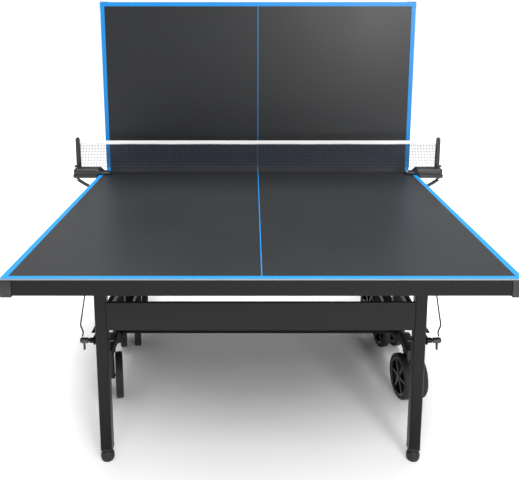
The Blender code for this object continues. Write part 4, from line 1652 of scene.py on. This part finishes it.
@dataclass
class NetSet:
    """The net with its tape, and the two clamps that hold it on the near half."""

    shop: Workshop
    place: HalfPlace
    half_length: float = 864.5 * MM
    net_y: float = -4.2 * MM
    bottom: float = 784 * MM
    top: float = 914.5 * MM
    tape: float = 18 * MM
    tape_pleat: float = 2 * MM
    pitch: float = 7.4 * MM
    thread: float = 0.66 * MM
    edge_cord: float = 1.0 * MM
    weave: float = 0.25 * MM
    flat_share: float = 0.6
    cord_colour: Colour = (0.007, 0.013, 0.030)
    # Colour of the painted highlight on the cord's strand crowns.
    crown_highlight_colour: Colour = (0.026, 0.040, 0.080)
    post_x: Pair = (865 * MM, 887 * MM)
    post_z: Pair = (745.5 * MM, 931.5 * MM)
    post_depth: float = 14 * MM
    post_y: float = -4 * MM
    taper_from: float = 800 * MM
    dome_height: float = 9 * MM
    arm_x: float = 705 * MM
    tip: float = 40 * MM
    step: float = 26 * MM
    tip_size: Pair = (44 * MM, 7.5 * MM)
    lead_size: Pair = (20 * MM, 4.5 * MM)
    rise_size: Pair = (13 * MM, 16.4 * MM)
    surface_z: float = 760.6 * MM
    arm_top: float = 789 * MM
    arm_y: Pair = (-2 * MM, 75 * MM)
    block_x: Pair = (768.5 * MM, 886 * MM)
    block_z: Pair = (745.4 * MM, 764 * MM)
    rib_x: tuple[float, ...] = (0.800, 0.822, 0.844, 0.866)
    jaw_pivot: Pair = (868 * MM, 738 * MM)
    jaw_y: float = 61.0
    jaw_line: Line = ((868, 738), (836, 716), (800, 697.5), (770, 693.2), (738, 692.4))
    jaw_size: Pair = (22 * MM, 12 * MM)
    jaw_eye: Line = ((6.2, 50.2), (6.6, 51.0), (6.6, 71.0), (6.2, 71.8))
    bolt_y: Pair = (50 * MM, 72 * MM)
    pad_low: tuple[float, float, float] = (741 * MM, 51 * MM, 694.0 * MM)
    pad_high: tuple[float, float, float] = (771 * MM, 71 * MM, 700.4 * MM)
    knob_line: Line = ((5.2, 887.4), (5.9, 888.2), (5.9, 895.8), (5.0, 897.5), (1.6, 898.0))
    knob_z: float = 787 * MM
    button_line: Line = ((2.9, 769.5), (2.9, 772.0), (2.2, 773.0), (0.8, 773.2))
    button_spot: Pair = (722 * MM, 36.5 * MM)

    def build(self) -> None:
        """Makes the clamps first, then the net they hold."""
        matrix = self.place.matrix(Group.TOP)
        for side in SIDES:
            word = self.place.word(side)
            self.shop.piece(
                f"net_clamp_body_{word}", self.clamp(side), matrix, "clamp_plastic", "near_top",
                [f"net_bracket_{word}"])
            self.shop.piece(f"net_clamp_jaw_{word}", self.jaw(side), matrix, "clamp_plastic",
                            f"net_clamp_{word}", [f"net_jaw_{word}"])
            self.shop.piece(f"net_clamp_pad_{word}", self.pad(side), matrix, "foot_rubber",
                            f"net_clamp_{word}", slot="clamp_plastic")
            self.shop.piece(f"net_tension_knob_{word}", self.knob(side), matrix, "knob_plastic",
                            f"net_tension_{word}", [f"net_knob_{word}"])
            self.shop.piece(f"net_clamp_bolts_{word}", self.bolts(side), matrix, "zinc",
                            "near_top", slot="clamp_plastic")
            if word == "right":
                self.shop.piece("net_clamp_button", self.button(side), matrix, "pale_button",
                                "near_top", slot="clamp_plastic")
        cord = Cord("net_cord", self.cord_colour, self.crown_highlight_colour)
        self.shop.finish["net_cord"] = cord.build()
        self.shop.finish["net_tape"] = WovenTape("net_tape", self.top - self.tape / 2).build()
        tape = self.shop.piece("net_tape", self.band(), matrix, "net_tape", "near_top",
                               slot="net_cord")
        net = self.shop.piece("net_mesh", self.netting(), matrix, "net_cord", "near_top", ["net"])
        flat = (2 * self.half_length, self.top - self.bottom)
        self.flat_share * flat[0] * flat[1]

    def netting(self) -> Skin:
        """Threads both ways with a knot at each crossing, a hem cord and two side cords.

        Threads cross at whole multiples of the pitch. Radius swells by half at the crossings,
        and neighbouring crossings lie a little before and behind the net's plane.

        Returns:
            The net's surfaces.
        """
        skin = Skin()
        high = self.top - self.tape + self.tape_pleat
        columns = int(round(2 * self.half_length / self.pitch))
        levels = int(round((high - self.bottom) / self.pitch))
        x = np.linspace(-self.half_length, self.half_length, columns + 1)
        z = np.linspace(self.bottom + self.edge_cord, high, levels + 1)
        section = arc((0, 0), self.thread, 0.0, 270.0, 4)
        fine_x = np.linspace(x[0], x[-1], 2 * columns + 1)
        fine_z = np.linspace(z[0], z[-1], 2 * levels + 1)
        for k, level in enumerate(z):
            wave = np.cos(math.pi * (np.arange(len(fine_x)) / 2 + k))
            path = np.stack((fine_x, self.net_y + self.weave * wave,
                             np.full(len(fine_x), level)), 1)
            skin.sweep(path, section, (0, 0, 1), self._knots(len(fine_x)))
        for k, across in enumerate(x[1:-1]):
            wave = -np.cos(math.pi * (np.arange(len(fine_z)) / 2 + k))
            path = np.stack((np.full(len(fine_z), across), self.net_y + self.weave * wave,
                             fine_z), 1)
            skin.sweep(path, section, (1, 0, 0), self._knots(len(fine_z)))
        hem = np.stack((fine_x, np.full(len(fine_x), self.net_y),
                        np.full(len(fine_x), self.bottom + self.edge_cord)), 1)
        skin.sweep(hem, CIRCLE_8 * self.edge_cord, (0, 0, 1))
        for side in SIDES:
            cord = np.stack((np.full(len(fine_z), side * (self.half_length - self.edge_cord)),
                             np.full(len(fine_z), self.net_y), fine_z), 1)
            skin.sweep(cord, CIRCLE_8 * self.edge_cord, (1, 0, 0))
        return skin

    @staticmethod
    def _knots(count: int) -> np.ndarray:
        """Thread sizes: half as thick again at the crossings, which are every second point."""
        return np.where(np.arange(count) % 2 == 0, 1.5, 1.0)

    def band(self) -> Skin:
        """The tape, folded over the top cord: a slim teardrop section, swept along x.

        Its half thickness is 0.55 mm, and swells to 1.35 mm at the cord near the top.

        Returns:
            The tape's surfaces.
        """
        reach = self.tape / 2
        v = np.linspace(-1.0, 1.0, 13)
        half = (0.55 + 0.8 * np.clip((v - 0.3) / 0.5, 0, 1) ** 2) * MM
        half = half * np.sqrt(np.clip(1 - np.abs(v) ** 10, 0.02, 1))
        outline = np.concatenate((np.stack((half, v * reach), 1),
                                  np.stack((-half, v * reach), 1)[::-1]))
        x = np.linspace(-self.half_length, self.half_length, 200)
        sag = 0.25 * MM * np.sin(x * 19.0) + 0.15 * MM * np.sin(x * 47.0)
        path = np.stack((x, self.net_y + sag, np.full(len(x), self.top - reach)), 1)
        return Skin().sweep(path, outline, (0, 0, 1))

    def clamp(self, side: int) -> Skin:
        """A clamp: a tapered post, an arm that thins towards its tip, and a block under it.

        The arm is a thin tongue at its tip, then its height is a smooth step up to the clamp,
        and its width swells with it. The post narrows a little as it rises and ends in a dome.

        Args:
            side: -1 or 1.

        Returns:
            The clamp's surfaces.
        """
        skin = Skin()
        s = np.linspace(0.0, 1.0, 40)
        x = self.arm_x + s * (self.post_x[1] - self.arm_x)
        rise = np.clip((x - self.arm_x - self.tip) / self.step, 0, 1)
        rise = rise * rise * (3 - 2 * rise)
        lead = np.clip((x - self.arm_x) / self.tip, 0, 1)
        width, height = (tip + more * lead + most * rise for tip, more, most in
                         zip(self.tip_size, self.lead_size, self.rise_size))
        ends = np.sqrt(np.clip(1 - np.abs(2 * s - 1) ** 30, 0.05, 1))
        unit = rounded_rectangle(2.0, 2.0, 0.42, 5)
        y_mid = sum(self.arm_y) / 2
        mid = np.stack((side * x, np.full(40, y_mid), self.surface_z + height / 2), 1)
        rows = mid[:, None] + np.stack((
            np.zeros((40, len(unit))),
            unit[None, :, 0] * (width * ends)[:, None] / 2,
            unit[None, :, 1] * (height * ends)[:, None] / 2), -1)
        skin.grid(rows)
        top = self.post_z[1]
        z = np.linspace(*self.post_z, 34)
        slim = 1.0 - 0.10 * np.clip((z - self.taper_from) / (top - self.taper_from), 0, 1)
        near_top = np.clip((z - top) / self.dome_height + 1, 0, 1)
        dome = np.sqrt(np.clip(1 - near_top ** 2, 0.03, 1))
        post = rounded_rectangle(self.post_x[1] - self.post_x[0], self.post_depth, 4.5 * MM, 5)
        x_mid = np.mean(self.post_x)
        path = np.stack((np.full(34, side * x_mid), np.full(34, self.post_y), z), 1)
        skin.sweep(path, post[:, ::-1], (1, 0, 0), np.stack((0.5 + 0.5 * dome, slim * dome), 1))
        skin.rounded_box((side * self.block_x[0], self.arm_y[0] + 1 * MM, self.block_z[0]),
                         (side * self.block_x[1], self.arm_y[1] - 1 * MM, self.block_z[1]),
                         4 * MM, 3 * MM, Axis.X)
        for x in self.rib_x:
            skin.rounded_box((side * x - 1.2 * MM, 6 * MM, self.arm_top - 1.4 * MM),
                             (side * x + 1.2 * MM, 66 * MM, self.arm_top), 0.6 * MM, 1.0 * MM,
                             Axis.Y)
        return skin

    def jaw(self, side: int) -> Skin:
        """The lower jaw: a bar swept from its pivot down and in under the top."""
        points = [(side * x * MM, self.jaw_y * MM, z * MM) for x, z in self.jaw_line]
        path = smooth_path(points, 7)
        size = np.linspace(1.0, 0.72, len(path))
        size[[0, -1]] *= 0.7
        section = rounded_rectangle(*self.jaw_size, 3.4 * MM, 4)[:, ::-1]
        skin = Skin().sweep(path, section, (0, 1, 0), np.stack((size, np.ones(len(path))), 1))
        centre = (side * self.jaw_pivot[0], 0, self.jaw_pivot[1])
        return skin.lathe(profile(self.jaw_eye), 28, centre, Axis.Y)

    def pad(self, side: int) -> Skin:
        """The rubber pad on the jaw's tip, which presses up under the frame."""
        turned_over = (side, 1, 1)
        return Skin().rounded_box(np.multiply(self.pad_low, turned_over),
                                  np.multiply(self.pad_high, turned_over),
                                  corner=3 * MM, edge=1.2 * MM)

    def knob(self, side: int) -> Skin:
        """The small fluted knob outside the post that tightens the net's cord."""
        def flutes(angle: np.ndarray, level: np.ndarray) -> np.ndarray:
            """Eight flutes."""
            return 1 - 0.08 * (0.5 + 0.5 * np.cos(8 * angle)) + 0 * level

        centre = (0, self.post_y, self.knob_z)
        return Skin().lathe(profile(self.knob_line, side), 48, centre, Axis.X, flutes)

    def bolts(self, side: int) -> Skin:
        """The jaw's pivot bolt heads."""
        skin = Skin()
        x, z = self.jaw_pivot
        for way, y in zip(SIDES, self.bolt_y):
            skin.bolt((side * x, y, z), Axis.Y, 4.2 * MM, 2.2 * MM, way)
        return skin

    def button(self, side: int) -> Skin:
        """The pale button on one arm's tip."""
        x, y = self.button_spot
        return Skin().lathe(profile(self.button_line), 20, (side * x, y, 0), Axis.Z)


# ---------------------------------------------------------------- studio


@dataclass(frozen=True)
class Softbox:
    """A rectangular area light: where it hangs, what it faces, its size and its power in watts."""

    name: str
    place: tuple[float, float, float]
    target: tuple[float, float, float]
    size: Pair
    power: float

    def hang(self) -> None:
        """Makes the light and turns it to face its target."""
        light = bpy.data.lights.new(self.name, "AREA")
        light.shape = "RECTANGLE"
        light.size, light.size_y = self.size
        light.energy = self.power
        obj = bpy.data.objects.new(self.name, light)
        obj.location = self.place
        aim = np.asarray(self.target) - np.asarray(self.place)
        flat = math.hypot(aim[0], aim[1])
        obj.rotation_euler = (math.atan2(flat, -aim[2]), 0.0, math.atan2(-aim[0], aim[1]))
        bpy.context.scene.collection.objects.link(obj)


@dataclass
class Studio:
    """A pale floor that glows as painted light round the table's painted shadow, soft light and
    the camera.
    """

    lens: float = 46.65
    eye: tuple[float, float, float] = (-0.028, -2.771, 1.503)
    pitch: float = 10.88
    shift_x: float = 0.0140
    shift_y: float = -0.18
    floor_size: float = 60.0
    # Reach of the floor's painted light, and where its painted shadow centres.
    lit_x: float = 0.95
    lit_y: float = 1.0
    shade_y: float = 0.35
    surround: float = 0.50
    # Strength of the floor's painted glow.
    painted_glow: float = 0.62
    softboxes: tuple[Softbox, ...] = (
        Softbox("key", (0.4, -3.4, 3.6), (0.0, -0.5, 0.0), (3.2, 2.2), 90.0),
        Softbox("overhead", (0.1, 0.6, 4.4), (0.0, 0.3, 0.8), (4.0, 3.0), 350.0),
        Softbox("board_highlight", (1.75, -5.4, 1.95), (0.5, 0.5, 1.3), (1.1, 0.7), 112.0),
    )

    def build(self) -> None:
        """Makes the floor, the lights, the world and the camera."""
        scene = bpy.context.scene
        scene.view_settings.view_transform = "Standard"
        scene.view_settings.look = "None"
        self._camera()
        self._floor()
        self._world()
        for softbox in self.softboxes:
            softbox.hang()

    def _camera(self) -> None:
        """The camera, level across and looking a little down, with no depth of field."""
        camera = bpy.data.objects.new("camera", bpy.data.cameras.new("camera"))
        camera.data.lens = self.lens
        camera.data.sensor_width = 36.0
        camera.data.shift_x = self.shift_x
        camera.data.shift_y = self.shift_y
        camera.data.clip_end = 200.0
        camera.location = self.eye
        camera.rotation_euler = (math.radians(90.0 - self.pitch), 0.0, 0.0)
        bpy.context.scene.collection.objects.link(camera)
        bpy.context.scene.camera = camera

    def _floor(self) -> None:
        """A flat pale floor with faint mottling, which glows away from the table: painted light
        whose unlit middle is a painted shadow under the table.

        The glow grows with (x / lit_x)^2 + ((y - shade_y) / lit_y)^2, and further out with
        x^2 + y^2.
        """
        half = self.floor_size / 2
        mesh = bpy.data.meshes.new("floor")
        mesh.from_pydata([(-half, -half, 0), (half, -half, 0), (half, half, 0),
                          (-half, half, 0)], [], [(0, 1, 2, 3)])
        floor = bpy.data.objects.new("floor", mesh)
        g = Graph.material("studio_floor")
        x, y, _ = g.axes()
        # Painted light: the floor's emission rises away from the table, so its unlit middle is a
        # painted shadow under the table.
        back = y - self.shade_y
        painted_light_away = (x * x / self.lit_x ** 2 + back * back / self.lit_y ** 2).ramp(0.35, 1.9)
        mottle = g.noise(6.0, 4.0).ramp(0.3, 0.7)
        colour = g.blend(mottle, (0.88, 0.88, 0.885), (0.91, 0.91, 0.91))
        far = (x * x + y * y).ramp(3.0, 12.0)
        painted_glow = g.blend(painted_light_away * 0.68 + far * 0.32, (0.0, 0.0, 0.0), (1.0, 1.0, 1.0))
        g.dress(Base_Color=colour, Roughness=0.75, Specular_IOR_Level=0.2, Emission_Color=painted_glow,
                Emission_Strength=self.painted_glow)
        mesh.materials.append(g.owner)
        bpy.context.scene.collection.objects.link(floor)

    def _world(self) -> None:
        """A surround that is plain white where it is seen, and lights the table more dimly."""
        g = Graph.world("surround")
        seen = Value(g, g.node("ShaderNodeLightPath").outputs["Is Camera Ray"])
        colour = g.blend(seen.either(self.surround), (0.0, 0.0, 0.0), (1.0, 1.0, 1.0))
        bpy.context.scene.world = g.dress(Color=colour, Strength=1.0)


CASTER_TURNS = {
    "near": {(-1, 0): 10.0, (1, 0): 11.0, (-1, 1): 10.0, (1, 1): 12.0},
    "far": {(-1, 0): 8.0, (1, 0): 15.0, (-1, 1): 12.0, (1, 1): 5.0},
}


def main() -> None:
    """Builds the studio, the two half tables and the net set."""
    logging.basicConfig(level=logging.INFO, format="%(name)s: %(message)s")
    Studio().build()
    shop = Workshop()
    near = HalfPlace("near", math.pi, 0.0)
    far = HalfPlace("far", 0.0, math.pi / 2)
    for place in (near, far):
        for part in (Top(shop, place), LegSet(shop, place), Trolley(shop, place),
                     Casters(shop, place, CASTER_TURNS[place.name])):
            part.build()
    NetSet(shop, near).build()


if __name__ == "__main__":
    main()
